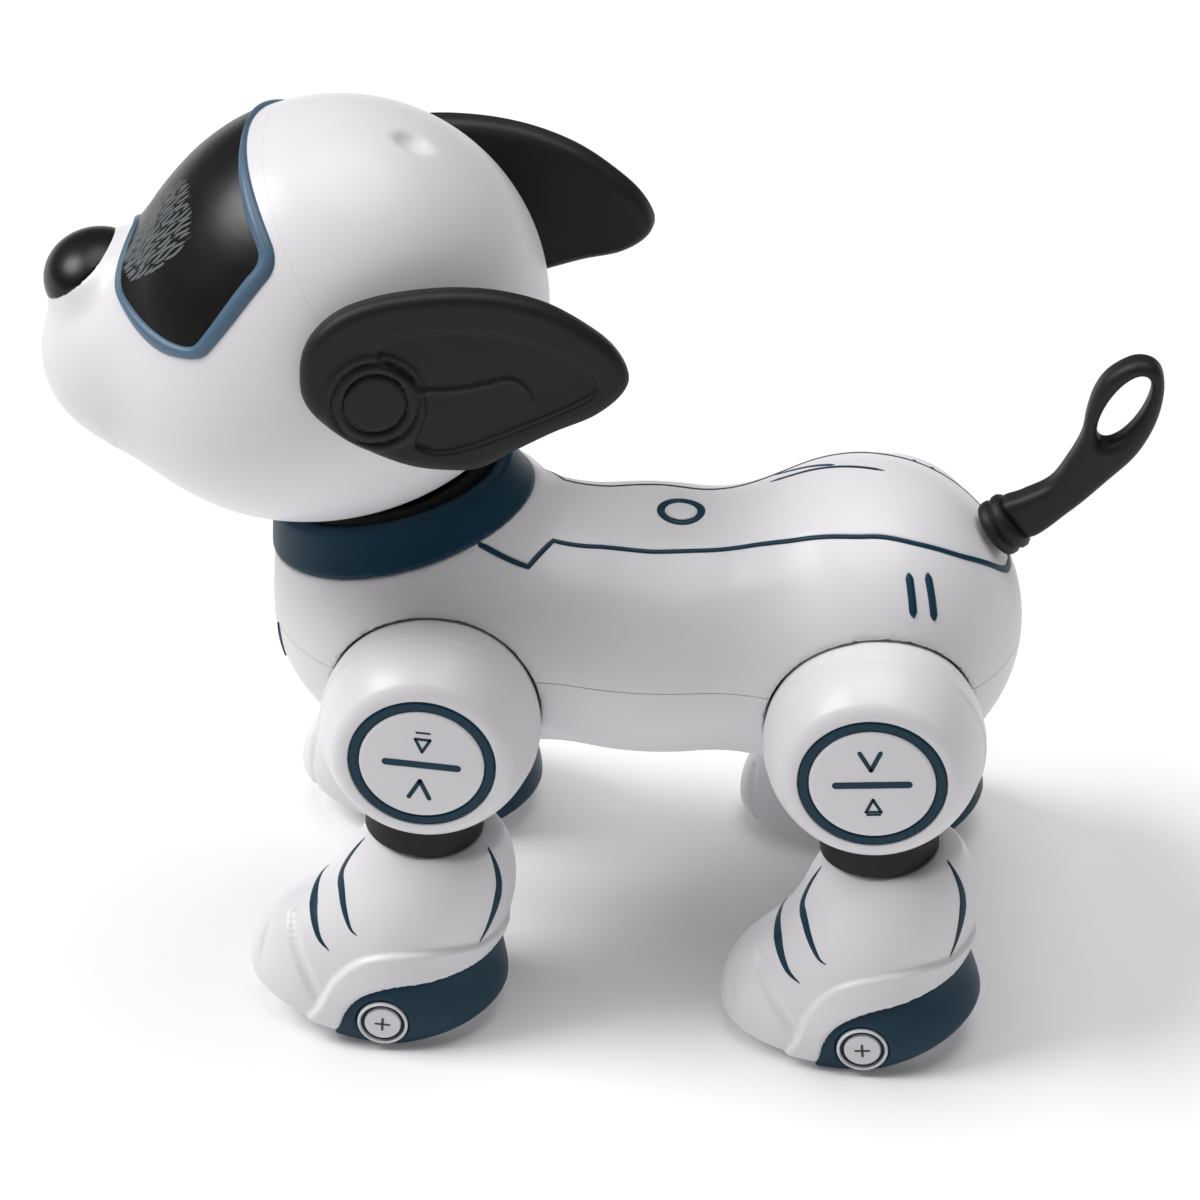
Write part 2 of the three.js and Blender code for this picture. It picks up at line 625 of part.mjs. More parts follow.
function tailSolid() {
  const edge = 0.9;
  const leaf = new THREE.ExtrudeGeometry(tailOutline(-edge), {
    depth: 7 - 2 * edge,
    bevelSize: edge,
    bevelThickness: edge,
    bevelSegments: 1,
    curveSegments: 4,
  });
  leaf.translate(0, 0, edge - 3.5);
  const flange = turned([
    [0, -9], [3.8, -9], [3.8, 0.6], [6.4, 0.6], [6.4, 2.4], [5.9, 3], [6.4, 3.6], [6.4, 5.6],
    [0, 5.6],
  ], tailPlace, 16);
  const stalk = solidOf(leaf, at([0, 0, 0], [90, 0, 0]))
    .intersect(box([-30, -30, 1.5], [30, 30, 80], tailPlace));
  return join(stalk, flange);
}
add(dog, 'tail', tailSolid(), FINISH.black);

dog.position.x = -MIDDLE_X;

export default dog;
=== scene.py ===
"""Looks of the toy robot dog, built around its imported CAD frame.

Lengths are in millimetres in the dog's own coordinates: x forward from the datum, y left, z up
from the floor. rows() turns them into the frame's metres. A leg is modelled from its hip centre.
"""
import json
import math

import bmesh
import bpy
import numpy as np
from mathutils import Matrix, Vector


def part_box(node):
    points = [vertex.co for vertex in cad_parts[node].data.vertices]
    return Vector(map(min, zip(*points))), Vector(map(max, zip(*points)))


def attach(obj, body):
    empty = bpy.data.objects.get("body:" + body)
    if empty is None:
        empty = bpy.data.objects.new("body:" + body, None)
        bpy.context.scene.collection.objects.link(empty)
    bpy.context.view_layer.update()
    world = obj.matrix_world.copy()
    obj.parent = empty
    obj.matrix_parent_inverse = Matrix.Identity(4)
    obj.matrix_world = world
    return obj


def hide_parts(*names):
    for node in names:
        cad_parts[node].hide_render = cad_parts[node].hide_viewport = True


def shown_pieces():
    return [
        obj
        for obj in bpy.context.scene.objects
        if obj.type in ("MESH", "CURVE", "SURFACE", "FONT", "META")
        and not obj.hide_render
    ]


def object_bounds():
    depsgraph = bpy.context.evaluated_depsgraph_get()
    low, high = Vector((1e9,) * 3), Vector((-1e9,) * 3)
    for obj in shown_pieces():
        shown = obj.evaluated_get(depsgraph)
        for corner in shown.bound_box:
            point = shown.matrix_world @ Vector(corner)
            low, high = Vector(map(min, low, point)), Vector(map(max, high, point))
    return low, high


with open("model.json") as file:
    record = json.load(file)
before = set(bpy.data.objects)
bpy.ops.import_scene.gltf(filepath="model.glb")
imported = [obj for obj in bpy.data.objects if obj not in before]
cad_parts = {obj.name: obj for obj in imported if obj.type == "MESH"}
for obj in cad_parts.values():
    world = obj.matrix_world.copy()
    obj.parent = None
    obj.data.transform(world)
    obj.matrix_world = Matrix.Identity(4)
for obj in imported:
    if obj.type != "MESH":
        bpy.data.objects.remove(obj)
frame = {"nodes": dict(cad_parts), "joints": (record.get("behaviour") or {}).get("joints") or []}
cad_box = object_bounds()

JOINT = {j["name"]: j for j in frame["joints"]}
ENDS = ("front", "rear")
SIDES = {"left": 1, "right": -1}

# ---------- Driving dimensions ----------
POD_R = 24.0
BADGE_Y = 14.8  # flat face of a hip pod, outward from the pod's centre
BADGE_R = 13.45
RING_R = 15.75
AXLE_X = 4.8  # wheel axle ahead of the leg's own axis
PAW_Y = 20.3
SLEEVE_R = 13.0
ANKLE_Z = -26.3
SOLE = 4.8  # underside of the white paw below the axle
COVER_SOLE = 6.9
SKULL_R = 44.4
BODY_SEAM_Z = 82.8
HEAD_SEAM_TILT = -57.8
HEAD_SEAM_REACH = 33.2
FACE_TILT = 38.0
# Planes are (degrees about +Y, distance).
COLLAR_LOW = (15.0, 116.6)
COLLAR_HIGH = (14.0, 125.4)
EAR_SWEEP = 11.0
EAR_LEAN = 6.0
EAR_THICK = 5.4
TAIL_RISE = 40.0
RING_SEAT = 12.8  # floor of the round recess in a hip pod's face
DISC_RISE = 0.3  # the badge disc stands out of the pod's face
COVER_RISE = 0.22  # the back cover stands out of the body
BUTTON_RISE = 0.7
NECK_LEAN = 15.0
NECK_BORE_R = 7.8
NECK_BORE_FLOOR = 62.0
ABOVE_BACK = 124.0  # heights from which lines fall onto the back and the rump
ABOVE_RUMP = 118.0
INNER_Y = -16.5  # flat inner side of a paw
HEEL_RISE = (-20, 68.9)  # underside of the heel cover, rising towards the back
DOWN = np.array([0.0, 0.0, -1.0])


# ---------- Frame and dog coordinates ----------
def joint_mm(name):
    return np.array(JOINT[name]["pos_m"]) * 1000


HIP = {end: joint_mm(f"{end}_left_hip_joint") for end in ENDS}
# The datum is 1.5 mm behind the middle of the hips.
DATUM = np.array([(HIP["front"][0] + HIP["rear"][0]) / 2 - 1.5, 0.0, 0.0])
SKULL = joint_mm("neck_pan") - DATUM
EAR_PIVOT = joint_mm("left_ear_hinge") - DATUM
TAIL_ROOT = joint_mm("tail_swivel") - DATUM


def rows(points):
    return (np.asarray(points, float) + DATUM) / 1000


def box_mm(node):
    """Lowest and highest corner of a CAD node, in dog coordinates."""
    return [np.array(corner) * 1000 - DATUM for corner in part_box(node)]


def leg_lean(end):
    """Degrees that a leg leans about +Y, from its hip and its axle."""
    drop = joint_mm(f"{end}_left_wheel_spin") - joint_mm(f"{end}_left_hip_joint")
    length = math.hypot(drop[0], drop[2])
    return math.degrees(math.atan2(-drop[0], -drop[2]) + math.asin(AXLE_X / length))


WHEEL_DROP = joint_mm("front_left_wheel_spin") - joint_mm("front_left_hip_joint")
AXLE_DROP = math.sqrt(WHEEL_DROP[0] ** 2 + WHEEL_DROP[2] ** 2 - AXLE_X ** 2)


def turn(points, degrees, axis):
    """Turns points about the origin by the right-hand rule, about axis 0, 1 or 2."""
    a = math.radians(degrees)
    c, s = math.cos(a), math.sin(a)
    i, j = (axis + 1) % 3, (axis + 2) % 3
    out = np.array(points, float)
    out[:, i] = points[:, i] * c - points[:, j] * s
    out[:, j] = points[:, i] * s + points[:, j] * c
    return out


def leg_place(end, side):
    def place(points):
        spots = turn(np.asarray(points, float), leg_lean(end), 1)
        spots = spots + HIP[end] - DATUM
        spots[:, 1] *= SIDES[side]
        return spots
    return place


# ---------- Fields: distance-like functions of (n, 3) points, negative inside ----------
def ellipsoid(centre, radii, lean=0.0):
    centre, radii = np.array(centre, float), np.array(radii, float)

    def field(p):
        q = turn(p - centre, -lean, 1)
        near = np.linalg.norm(q / radii, axis=1)
        slope = np.linalg.norm(q / radii ** 2, axis=1) + 1e-9
        return near * (near - 1) / slope
    return field


def soften(k, a, b):
    """Smooth minimum of two values."""
    h = np.maximum(k - np.abs(a - b), 0) / k
    return np.minimum(a, b) - h * h * k / 4


def blend(k, *fields):
    def field(p):
        out = fields[0](p)
        for other in fields[1:]:
            out = soften(k, out, other(p))
        return out
    return field


def both(k, *fields):
    """Where all the fields are inside, with edges rounded to about k."""
    def field(p):
        out = -fields[0](p)
        for other in fields[1:]:
            out = soften(k, out, -other(p))
        return -out
    return field


def grown(field, by):
    return lambda p: field(p) - by


def outside(field):
    return lambda p: -field(p)


def half_space(tilt, reach, sign=1):
    """Inside below (sign 1) or above (sign -1) a plane leaning `tilt` degrees about +Y."""
    s, c = math.sin(math.radians(tilt)), math.cos(math.radians(tilt))
    return lambda p: sign * (p[:, 0] * s + p[:, 2] * c - reach)


def bar(centre, axis, radius, stretch=1.0):
    """An endless rod along an axis leaning about +Y; stretch widens it along x."""
    def field(p):
        q = turn(p - np.array(centre, float), -axis, 1)
        return np.hypot(q[:, 0] / stretch, q[:, 1]) - radius
    return field


def outline_distance(corners, flat):
    """Signed distance of (n, 2) points from a closed outline, negative inside."""
    corners = np.asarray(corners, float)
    ends = np.roll(corners, -1, axis=0)
    best = np.full(len(flat), 1e9)
    inside = np.zeros(len(flat), bool)
    for a, b in zip(corners, ends):
        run = b - a
        along = np.clip((flat - a) @ run / (run @ run + 1e-12), 0, 1)
        gap = flat - a - along[:, None] * run
        best = np.minimum(best, np.hypot(gap[:, 0], gap[:, 1]))
        crosses = (a[1] > flat[:, 1]) != (b[1] > flat[:, 1])
        if run[1]:
            where = a[0] + (flat[:, 1] - a[1]) * run[0] / run[1]
            inside ^= crosses & (flat[:, 0] < where)
    return np.where(inside, -best, best)


def smooth_path(points, count, closed=False):
    """A Catmull-Rom curve through a few points, as `count` points evenly spread along it."""
    points = np.asarray(points, float)
    if closed:
        padded = np.concatenate([points[-1:], points, points[:2]])
    else:
        first, last = 2 * points[0] - points[1], 2 * points[-1] - points[-2]
        padded = np.concatenate([[first], points, [last]])
    t = np.linspace(0, 1, 24, endpoint=False)[:, None]
    run = []
    for a, b, c, d in zip(padded, padded[1:], padded[2:], padded[3:]):
        run.append(0.5 * (2 * b + (c - a) * t + (2 * a - 5 * b + 4 * c - d) * t ** 2
                          + (3 * b - a - 3 * c + d) * t ** 3))
    run = np.concatenate(run + [padded[-2:-1]])
    length = np.concatenate([[0], np.cumsum(np.linalg.norm(np.diff(run, axis=0), axis=1))])
    at = np.linspace(0, length[-1], count + 1 if closed else count)
    out = np.stack([np.interp(at, length, run[:, k]) for k in range(run.shape[1])], 1)
    return out[:-1] if closed else out


# ---------- Meshes from fields ----------
def slope_of(field, p, reach=0.05):
    out = np.empty_like(p)
    for k in range(3):
        step = np.zeros(3)
        step[k] = reach
        out[:, k] = (field(p + step) - field(p - step)) / (2 * reach)
    return out


def skin(field, low, high, step):
    """The closed surface of a field inside a box, as (vertices, quads)."""
    low, high = np.array(low, float), np.array(high, float)
    counts = np.ceil((high - low) / step).astype(int) + 1
    lines = [low[k] + step * np.arange(counts[k]) for k in range(3)]
    value = np.empty(tuple(counts))
    for i, x in enumerate(lines[0]):
        y, z = np.meshgrid(lines[1], lines[2], indexing="ij")
        spots = np.stack([np.full(y.size, x), y.ravel(), z.ravel()], 1)
        value[i] = field(spots).reshape(y.shape)
    inside = value < 0
    total = np.zeros(tuple(counts - 1) + (3,))
    hits = np.zeros(tuple(counts - 1))
    cut = [slice(0, -1), slice(1, None)]
    for axis in range(3):
        others = [k for k in range(3) if k != axis]
        for u in (0, 1):
            for v in (0, 1):
                pick = [None, None, None]
                pick[others[0]], pick[others[1]] = cut[u], cut[v]
                pick[axis] = cut[0]
                a, ia = value[tuple(pick)], inside[tuple(pick)]
                pick[axis] = cut[1]
                b, ib = value[tuple(pick)], inside[tuple(pick)]
                crossed = ia != ib
                share = np.where(crossed, a / np.where(crossed, a - b, 1), 0)
                total[..., axis] += share
                total[..., others[0]] += crossed * u
                total[..., others[1]] += crossed * v
                hits += crossed
    active = hits > 0
    number = np.full(active.shape, -1)
    number[active] = np.arange(active.sum())
    base = np.argwhere(active)
    verts = low + step * (base + total[active] / hits[active][:, None])
    faces = []
    for axis in range(3):
        j, k = (axis + 1) % 3, (axis + 2) % 3
        pick = [slice(None)] * 3
        pick[axis] = cut[0]
        a = inside[tuple(pick)]
        pick[axis] = cut[1]
        b = inside[tuple(pick)]
        spots = np.argwhere(a != b)
        keep = (spots[:, j] > 0) & (spots[:, k] > 0)
        keep &= (spots[:, j] < counts[j] - 1) & (spots[:, k] < counts[k] - 1)
        spots = spots[keep]
        ring = []
        for dj, dk in ((-1, -1), (0, -1), (0, 0), (-1, 0)):
            cell = spots.copy()
            cell[:, j] += dj
            cell[:, k] += dk
            ring.append(number[tuple(cell.T)])
        quad = np.stack(ring, 1)
        starts_inside = a[tuple(spots.T)]
        quad[~starts_inside] = quad[~starts_inside][:, ::-1]
        faces.append(quad)
    for _ in range(3):
        slope = slope_of(field, verts)
        size = (slope ** 2).sum(1) + 1e-9
        move = -(field(verts) / size)[:, None] * slope
        far = np.linalg.norm(move, axis=1, keepdims=True)
        verts = verts + move * np.minimum(1, 0.3 * step / (far + 1e-9))
    return verts, np.concatenate(faces)


def settle(field, p, way, reach=60.0):
    """Moves points from outside a field along `way` until they meet it."""
    way = np.broadcast_to(np.asarray(way, float), p.shape)
    steps = np.linspace(0, 1, 81)
    near = np.zeros(len(p))
    found = np.zeros(len(p), bool)
    for a in steps[1:]:
        hit = (field(p + way * (a * reach)) < 0) & ~found
        near[hit] = (a - steps[1]) * reach
        found |= hit
    far = near + steps[1] * reach
    for _ in range(14):
        middle = (near + far) / 2
        hit = field(p + way * middle[:, None]) < 0
        far = np.where(hit, middle, far)
        near = np.where(hit, near, middle)
    return p + way * near[:, None]


def strip(field, edge_a, edge_b, drop, heights, closed=False):
    """A band laid on a field between two paths: `heights` gives its rise at shares across it.

    drop(points) gives each flat point's start outside the field and the way it falls.
    """
    shares = np.array([share for share, _ in heights])
    rise = np.array([height for _, height in heights])
    edge_a, edge_b = np.asarray(edge_a, float), np.asarray(edge_b, float)
    flat = edge_a[:, None] + (edge_b - edge_a)[:, None] * shares[None, :, None]
    start, way = drop(flat.reshape(-1, flat.shape[-1]))
    spots = settle(field, start, way)
    slope = slope_of(field, spots, 0.2)
    slope /= np.linalg.norm(slope, axis=1, keepdims=True) + 1e-9
    spots = spots + slope * np.tile(rise, len(edge_a))[:, None]
    around, across = len(edge_a), len(shares)
    last = around if closed else around - 1
    faces = []
    for i in range(last):
        n = (i + 1) % around
        for j in range(across - 1):
            faces.append((i * across + j, i * across + j + 1, n * across + j + 1, n * across + j))
    return outward_faces(spots, np.array(faces), slope)


def outward_faces(spots, faces, slope):
    """Turns the faces over if most of them look into the surface they lie on."""
    a, b, c = spots[faces[:, 0]], spots[faces[:, 1]], spots[faces[:, 2]]
    facing = (np.cross(b - a, c - a) * slope[faces[:, 0]]).sum(1)
    return (spots, faces if facing.sum() > 0 else faces[:, ::-1])


def sliced(shape, point, normal):
    """The part of a closed shape on the far side of a plane, closed again with a flat face."""
    mesh = bmesh.new()
    verts = [mesh.verts.new(v) for v in shape[0]]
    for face in shape[1]:
        mesh.faces.new([verts[i] for i in face])
    mesh.normal_update()
    bmesh.ops.bisect_plane(
        mesh, geom=mesh.verts[:] + mesh.edges[:] + mesh.faces[:], dist=1e-6,
        plane_co=Vector(point), plane_no=Vector(normal), clear_inner=True,
    )
    rim = [e for e in mesh.edges if e.is_boundary]
    bmesh.ops.edgeloop_fill(mesh, edges=rim)
    bmesh.ops.recalc_face_normals(mesh, faces=mesh.faces)
    mesh.verts.index_update()
    spots = np.array([v.co[:] for v in mesh.verts])
    faces = [[v.index for v in f.verts] for f in mesh.faces]
    mesh.free()
    return spots, faces


def plane(tilt, reach, sign=1):
    """(point, normal) of the plane leaning `tilt` degrees about +Y at that distance."""
    normal = np.array([math.sin(math.radians(tilt)), 0, math.cos(math.radians(tilt))])
    return normal * reach, normal * sign


def turned(profile, segments=128, axis=1):
    """A solid of revolution about an axis; profile points are (radius, height)."""
    spots, faces, rings = [], [], []
    j, k = (axis + 1) % 3, (axis + 2) % 3
    for radius, height in profile:
        if radius < 1e-6:
            spot = np.zeros(3)
            spot[axis] = height
            rings.append([len(spots)] * segments)
            spots.append(spot)
            continue
        ring = []
        for i in range(segments):
            a = 2 * math.pi * i / segments
            spot = np.zeros(3)
            spot[axis], spot[j], spot[k] = height, radius * math.cos(a), radius * math.sin(a)
            ring.append(len(spots))
            spots.append(spot)
        rings.append(ring)
    for low, high in zip(rings, rings[1:]):
        for i in range(segments):
            n = (i + 1) % segments
            face = [low[i], low[n], high[n], high[i]]
            face = [v for at, v in enumerate(face) if v not in face[:at]]
            if len(face) > 2:
                faces.append(face)
    if profile[0][0] > 1e-6 and profile[0] == profile[-1]:
        spots, faces = welded(spots, faces, segments)
    return np.array(spots), faces


def welded(spots, faces, segments):
    """Joins the last ring of a closed profile to its first."""
    count = len(spots) - segments
    faces = [[v - count if v >= count else v for v in face] for face in faces]
    return spots[:count], faces


def arc(centre, radius, start, end, count):
    """Points on an arc, in degrees from the first axis towards the second."""
    return [(centre[0] + radius * math.cos(math.radians(a)),
             centre[1] + radius * math.sin(math.radians(a)))
            for a in np.linspace(start, end, count)]


def moved(shape, place):
    """A shape taken through a placing function; a mirrored one keeps its faces outward."""
    spots = place(np.asarray(shape[0], float))
    probe = place(np.array([[0, 0, 0], [1, 0, 0], [0, 1, 0], [0, 0, 1]], float))
    hand = np.linalg.det(probe[1:] - probe[0])
    faces = shape[1] if hand > 0 else [list(f)[::-1] for f in shape[1]]
    return spots, faces


# ---------- Materials ----------
def plastic(name, colour, rough, grain=0.02, grain_size=0.35, coat=0.0, shine=0.5, vary=0.03):
    """Moulded plastic: cloudy colour, fine grain and uneven polish.

    grain is the bump's depth and grain_size its scale, both in millimetres.
    """
    material = bpy.data.materials.new(name)
    material.use_nodes = True
    tree = material.node_tree
    nodes, links = tree.nodes, tree.links
    shader = nodes["Principled BSDF"]
    place = nodes.new("ShaderNodeTexCoord")

    def noise(size_mm, detail):
        node = nodes.new("ShaderNodeTexNoise")
        node.inputs["Scale"].default_value = 1000 / size_mm
        node.inputs["Detail"].default_value = detail
        links.new(place.outputs["Object"], node.inputs["Vector"])
        return node

    cloud = noise(22, 3)
    tint = nodes.new("ShaderNodeMix")
    tint.data_type = "RGBA"
    tint.inputs["A"].default_value = (*[c * (1 - vary) for c in colour], 1)
    tint.inputs["B"].default_value = (*[min(1, c * (1 + vary)) for c in colour], 1)
    links.new(cloud.outputs["Fac"], tint.inputs["Factor"])
    links.new(tint.outputs["Result"], shader.inputs["Base Color"])

    polish = nodes.new("ShaderNodeMapRange")
    polish.inputs["To Min"].default_value = rough - 0.05
    polish.inputs["To Max"].default_value = rough + 0.06
    links.new(noise(6, 4).outputs["Fac"], polish.inputs["Value"])
    links.new(polish.outputs["Result"], shader.inputs["Roughness"])

    bump = nodes.new("ShaderNodeBump")
    bump.inputs["Strength"].default_value = 0.6
    bump.inputs["Distance"].default_value = grain / 1000
    links.new(noise(grain_size, 2).outputs["Fac"], bump.inputs["Height"])
    links.new(bump.outputs["Normal"], shader.inputs["Normal"])
    shader.inputs["Coat Weight"].default_value = coat
    shader.inputs["Coat Roughness"].default_value = 0.15
    shader.inputs["Specular IOR Level"].default_value = shine
    return material


WHITE = plastic("white_satin", (0.80, 0.785, 0.81), 0.40, 0.012, 0.5, coat=0.08, vary=0.012)
NAVY = plastic("navy_satin", (0.008, 0.040, 0.070), 0.42, 0.015, 0.4, shine=0.2, vary=0.10)
STEEL = plastic("steel_blue_satin", (0.082, 0.148, 0.222), 0.36, 0.012, 0.4, shine=0.4, vary=0.08)
BLACK = plastic("black_matte", (0.010, 0.010, 0.0095), 0.55, 0.03, 0.35, shine=0.25, vary=0.15)
GLOSS = plastic("gloss_black", (0.005, 0.005, 0.005), 0.33, 0.004, 1.5, shine=0.33, vary=0.2)
RUBBER = plastic("soft_black_rubber", (0.0115, 0.0115, 0.0105), 0.50, 0.035, 0.3, shine=0.3,
                 vary=0.15)
TYRE = plastic("tyre_rubber", (0.009, 0.009, 0.009), 0.75, 0.05, 0.4, shine=0.3, vary=0.2)
GREY = plastic("grey_print", (0.135, 0.150, 0.160), 0.5, 0.01, 0.5, shine=0.3, vary=0.12)
MARK = plastic("dark_print", (0.04, 0.05, 0.07), 0.5, 0.01, 0.5, vary=0.08)
MOTOR = plastic("motor_case", (0.16, 0.165, 0.17), 0.45, 0.01, 0.4, vary=0.05)
BOARD = plastic("circuit_board", (0.012, 0.10, 0.035), 0.4, 0.02, 0.6, vary=0.2)
WRAP = plastic("battery_wrap", (0.05, 0.12, 0.30), 0.35, 0.01, 0.8, vary=0.08)


def piece(name, shape, material, body, *nodes, sharp=38):
    """Makes an object from a shape in dog millimetres, riding on a body."""
    mesh = bpy.data.meshes.new(name)
    faces = shape[1].tolist() if isinstance(shape[1], np.ndarray) else shape[1]
    mesh.from_pydata(rows(shape[0]).tolist(), [], faces)
    mesh.update()
    mesh.shade_smooth()
    mesh.set_sharp_from_angle(angle=math.radians(sharp))
    mesh.materials.append(material)
    made = bpy.data.objects.new(name, mesh)
    bpy.context.scene.collection.objects.link(made)
    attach(made, body)
    if nodes:
        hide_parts(*nodes)
    return made


def inner_parts():
    """Finishes for the works inside the shells; the rest of them are black."""
    finishes = {"motor": MOTOR, "board": BOARD, "battery": WRAP}
    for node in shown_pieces():
        if node.name not in frame["nodes"]:
            continue
        found = [finish for key, finish in finishes.items() if key in node.name]
        node.data.materials.clear()
        node.data.materials.append(found[0] if found else BLACK)


def ridge(height, tuck=0.35, count=11):
    """For strip(): rise across a rounded band."""
    shares = np.linspace(0, 1, count)
    return [(t, -tuck + (height + tuck) * math.sin(math.pi * t) ** 0.55) for t in shares]


def inlay(height, tuck=0.2):
    """For strip(): rise across a flat band whose edges are tucked under the surface."""
    return [(0, -tuck), (0.04, height * 0.6), (0.12, height), (0.5, height), (0.88, height),
            (0.96, height * 0.6), (1, -tuck)]


def normal_drop(field, lift=2.5):
    """For strip(): points near a field fall onto it along its own normal."""
    def drop(p):
        way = slope_of(field, p, 0.3)
        way /= np.linalg.norm(way, axis=1, keepdims=True) + 1e-9
        return p + way * lift, -way
    return drop


def ribbon(field, path, width, heights, count=60, taper=0.0, power=0.7):
    """A line inlaid in a field along a 3-D path; taper is the share of its length that narrows."""
    spine = smooth_path(path, count)
    run = np.gradient(spine, axis=0)
    out = slope_of(field, spine, 0.3)
    across = np.cross(out, run)
    across /= np.linalg.norm(across, axis=1, keepdims=True) + 1e-9
    along = np.linspace(0, 1, count)
    half = np.full(count, width / 2)
    if taper:
        half *= np.clip(np.minimum(along, 1 - along) / taper, 0.01, 1) ** power
    side = across * half[:, None]
    return strip(field, spine + side, spine - side, normal_drop(field), heights)


def joined(*shapes):
    """Several shapes as one mesh."""
    spots, faces, count = [], [], 0
    for some, polys in shapes:
        spots.append(np.asarray(some, float))
        faces += [[int(v) + count for v in poly] for poly in polys]
        count += len(some)
    return np.concatenate(spots), faces


def stroke(points, width, low, high, bevel=0.08):
    """Round-ended strokes on a face looking along +Y: (x, z) points, raised from low to high."""
    shapes = []
    for a, b in zip(points, points[1:]):
        a, b = np.array(a, float), np.array(b, float)
        turn_to = math.degrees(math.atan2(b[1] - a[1], b[0] - a[0]))
        ends = [(b, turn_to - 90), (a, turn_to + 90)]
        layers = []
        for r, y in ((width / 2, low), (width / 2, high - bevel), (width / 2 - bevel, high)):
            ring = []
            for centre, start in ends:
                ring += [(x, y, z) for x, z in arc(centre, r, start, start + 180, 9)]
            layers.append(ring)
        count = len(layers[0])
        spots = np.array(layers[0] + layers[1] + layers[2])
        faces = [[k * count + i, k * count + (i + 1) % count,
                  (k + 1) * count + (i + 1) % count, (k + 1) * count + i]
                 for k in (0, 1) for i in range(count)]
        faces += [list(range(count))[::-1], [2 * count + i for i in range(count)]]
        shapes.append((spots, [face[::-1] for face in faces]))
    return joined(*shapes)


# ---------- Head ----------
HEAD_FIELD = blend(
    10,
    ellipsoid(SKULL, [SKULL_R, SKULL_R - 1.4, SKULL_R + 0.4]),
    ellipsoid([114, 0, 144], [22.5, 26, 20.5]),
    ellipsoid([84, 0, 145.5], [38.5, 42.5, 34.8]),
)
TRIM_OUTER = [
    [0, 21.4],
    [10, 21.5, 24, 20.8, 31, 18.2],
    [33.6, 17, 34.8, 15, 35.6, 12],
    [37, 7, 38.6, 0, 38.8, -7],
    [38.8, -9.6, 37.6, -12, 35, -15],
    [31.5, -18.6, 26, -19.6, 19, -20.4],
    [13, -21.6, 8, -16.4, 0, -14.6],
]
TRIM_INNER = [
    [0, 20.4],
    [8, 20.2, 20, 18, 30.5, 15.2],
    [32.8, 14.6, 33.4, 12, 33.8, 10],
    [35.2, 4.5, 36.6, -2, 36.8, -7.4],
    [36.9, -9, 35.9, -10.6, 33.6, -12.4],
    [30, -15, 25, -16.6, 19, -18],
    [13, -19.3, 8, -14.2, 0, -12.8],
]


def capsule(a, b, radius):
    """A round-ended rod between two points."""
    a, b = np.array(a, float), np.array(b, float)

    def field(p):
        share = np.clip((p - a) @ (b - a) / ((b - a) @ (b - a)), 0, 1)
        return np.linalg.norm(p - a - share[:, None] * (b - a), axis=1) - radius
    return field


def half_outline(rows_of_points, per_curve=14):
    """Points along a chain of cubic curves, from the brow's middle to the muzzle's."""
    spots = [np.array(rows_of_points[0], float)]
    for row in rows_of_points[1:]:
        a, b, c, d = spots[-1], np.array(row[:2]), np.array(row[2:4]), np.array(row[4:])
        for t in np.linspace(0, 1, per_curve + 1)[1:]:
            s = 1 - t
            spots.append(s ** 3 * a + 3 * s * s * t * b + 3 * s * t * t * c + t ** 3 * d)
    return np.array(spots)


def round_outline(rows_of_points):
    """Both mirrored halves as one closed path."""
    half = half_outline(rows_of_points)
    return np.concatenate([half, half[1:-1][::-1] * [-1, 1]])


def face_drop(p):
    """For strip(): (across, up) points of the face fall onto the head."""
    tilt = math.radians(FACE_TILT)
    out = np.array([math.cos(tilt), 0, math.sin(tilt)])
    up = np.array([-math.sin(tilt), 0, math.cos(tilt)])
    start = SKULL + out * 66 + p[:, :1] * [0, 1, 0] + p[:, 1:2] * up
    return start, np.tile(-out, (len(p), 1))


NOSE_FIELD = ellipsoid([123.4, 0, 160], [11.8, 13, 9.8])
NOSE_CUT = (38.5, 206.4)  # the plane that the black nose stands out of: degrees, distance
# The white muzzle swells up under the nose and towards the visor.
WHITE_HEAD = blend(5, HEAD_FIELD, both(1.0, grown(NOSE_FIELD, -0.4), half_space(*NOSE_CUT)))
BRIDGE = blend(4, HEAD_FIELD, grown(NOSE_FIELD, -1.0))


def head_shells():
    """The two moulded halves of the head, with the sensor recess and the mouth's corners."""
    carved = both(
        0.8,
        WHITE_HEAD,
        outside(ellipsoid([53, 4.9, 198.6], [5.6, 3.9, 3.4], -14)),
        outside(capsule([118.6, 25.6, 137], [118.0, 21.2, 129.8], 0.75)),
        outside(capsule([118.6, -25.6, 137], [118.0, -21.2, 129.8], 0.75)),
    )
    shape = skin(carved, [24, -47, 108], [142, 47, 203], 1.0)
    slit = 0.015
    back = sliced(shape, *plane(HEAD_SEAM_TILT, HEAD_SEAM_REACH + slit))
    front = sliced(shape, *plane(HEAD_SEAM_TILT, HEAD_SEAM_REACH - slit, -1))
    piece("head_front", front, WHITE, "head", "face_shell")
    piece("head_back", back, WHITE, "head", "skull_shell")


def visor():
    """The glossy lens and the steel-blue frame round it."""
    inner, outer = round_outline(TRIM_INNER), round_outline(TRIM_OUTER)
    shares = [(0, -0.5)] + [(t, 0.3) for t in np.linspace(0.01, 0.995, 46)]
    lens = strip(BRIDGE, inner * 1.03, inner * 0 + [0, -1], face_drop, shares, closed=True)
    piece("visor_lens", lens, GLOSS, "head", "visor")
    frame_band = strip(BRIDGE, outer, inner, face_drop, ridge(1.0), closed=True)
    piece("visor_frame", frame_band, STEEL, "head", "visor_trim", sharp=80)


EYE = [(7.1, 6.6), (11, 8), (19.1, 6.9), (23, 5.4), (24, -0.1), (23.1, -6.6), (19.6, -12.9),
       (18, -16.2), (14.3, -17), (8.8, -17.6), (4.8, -7.1), (4.6, 0.4)]


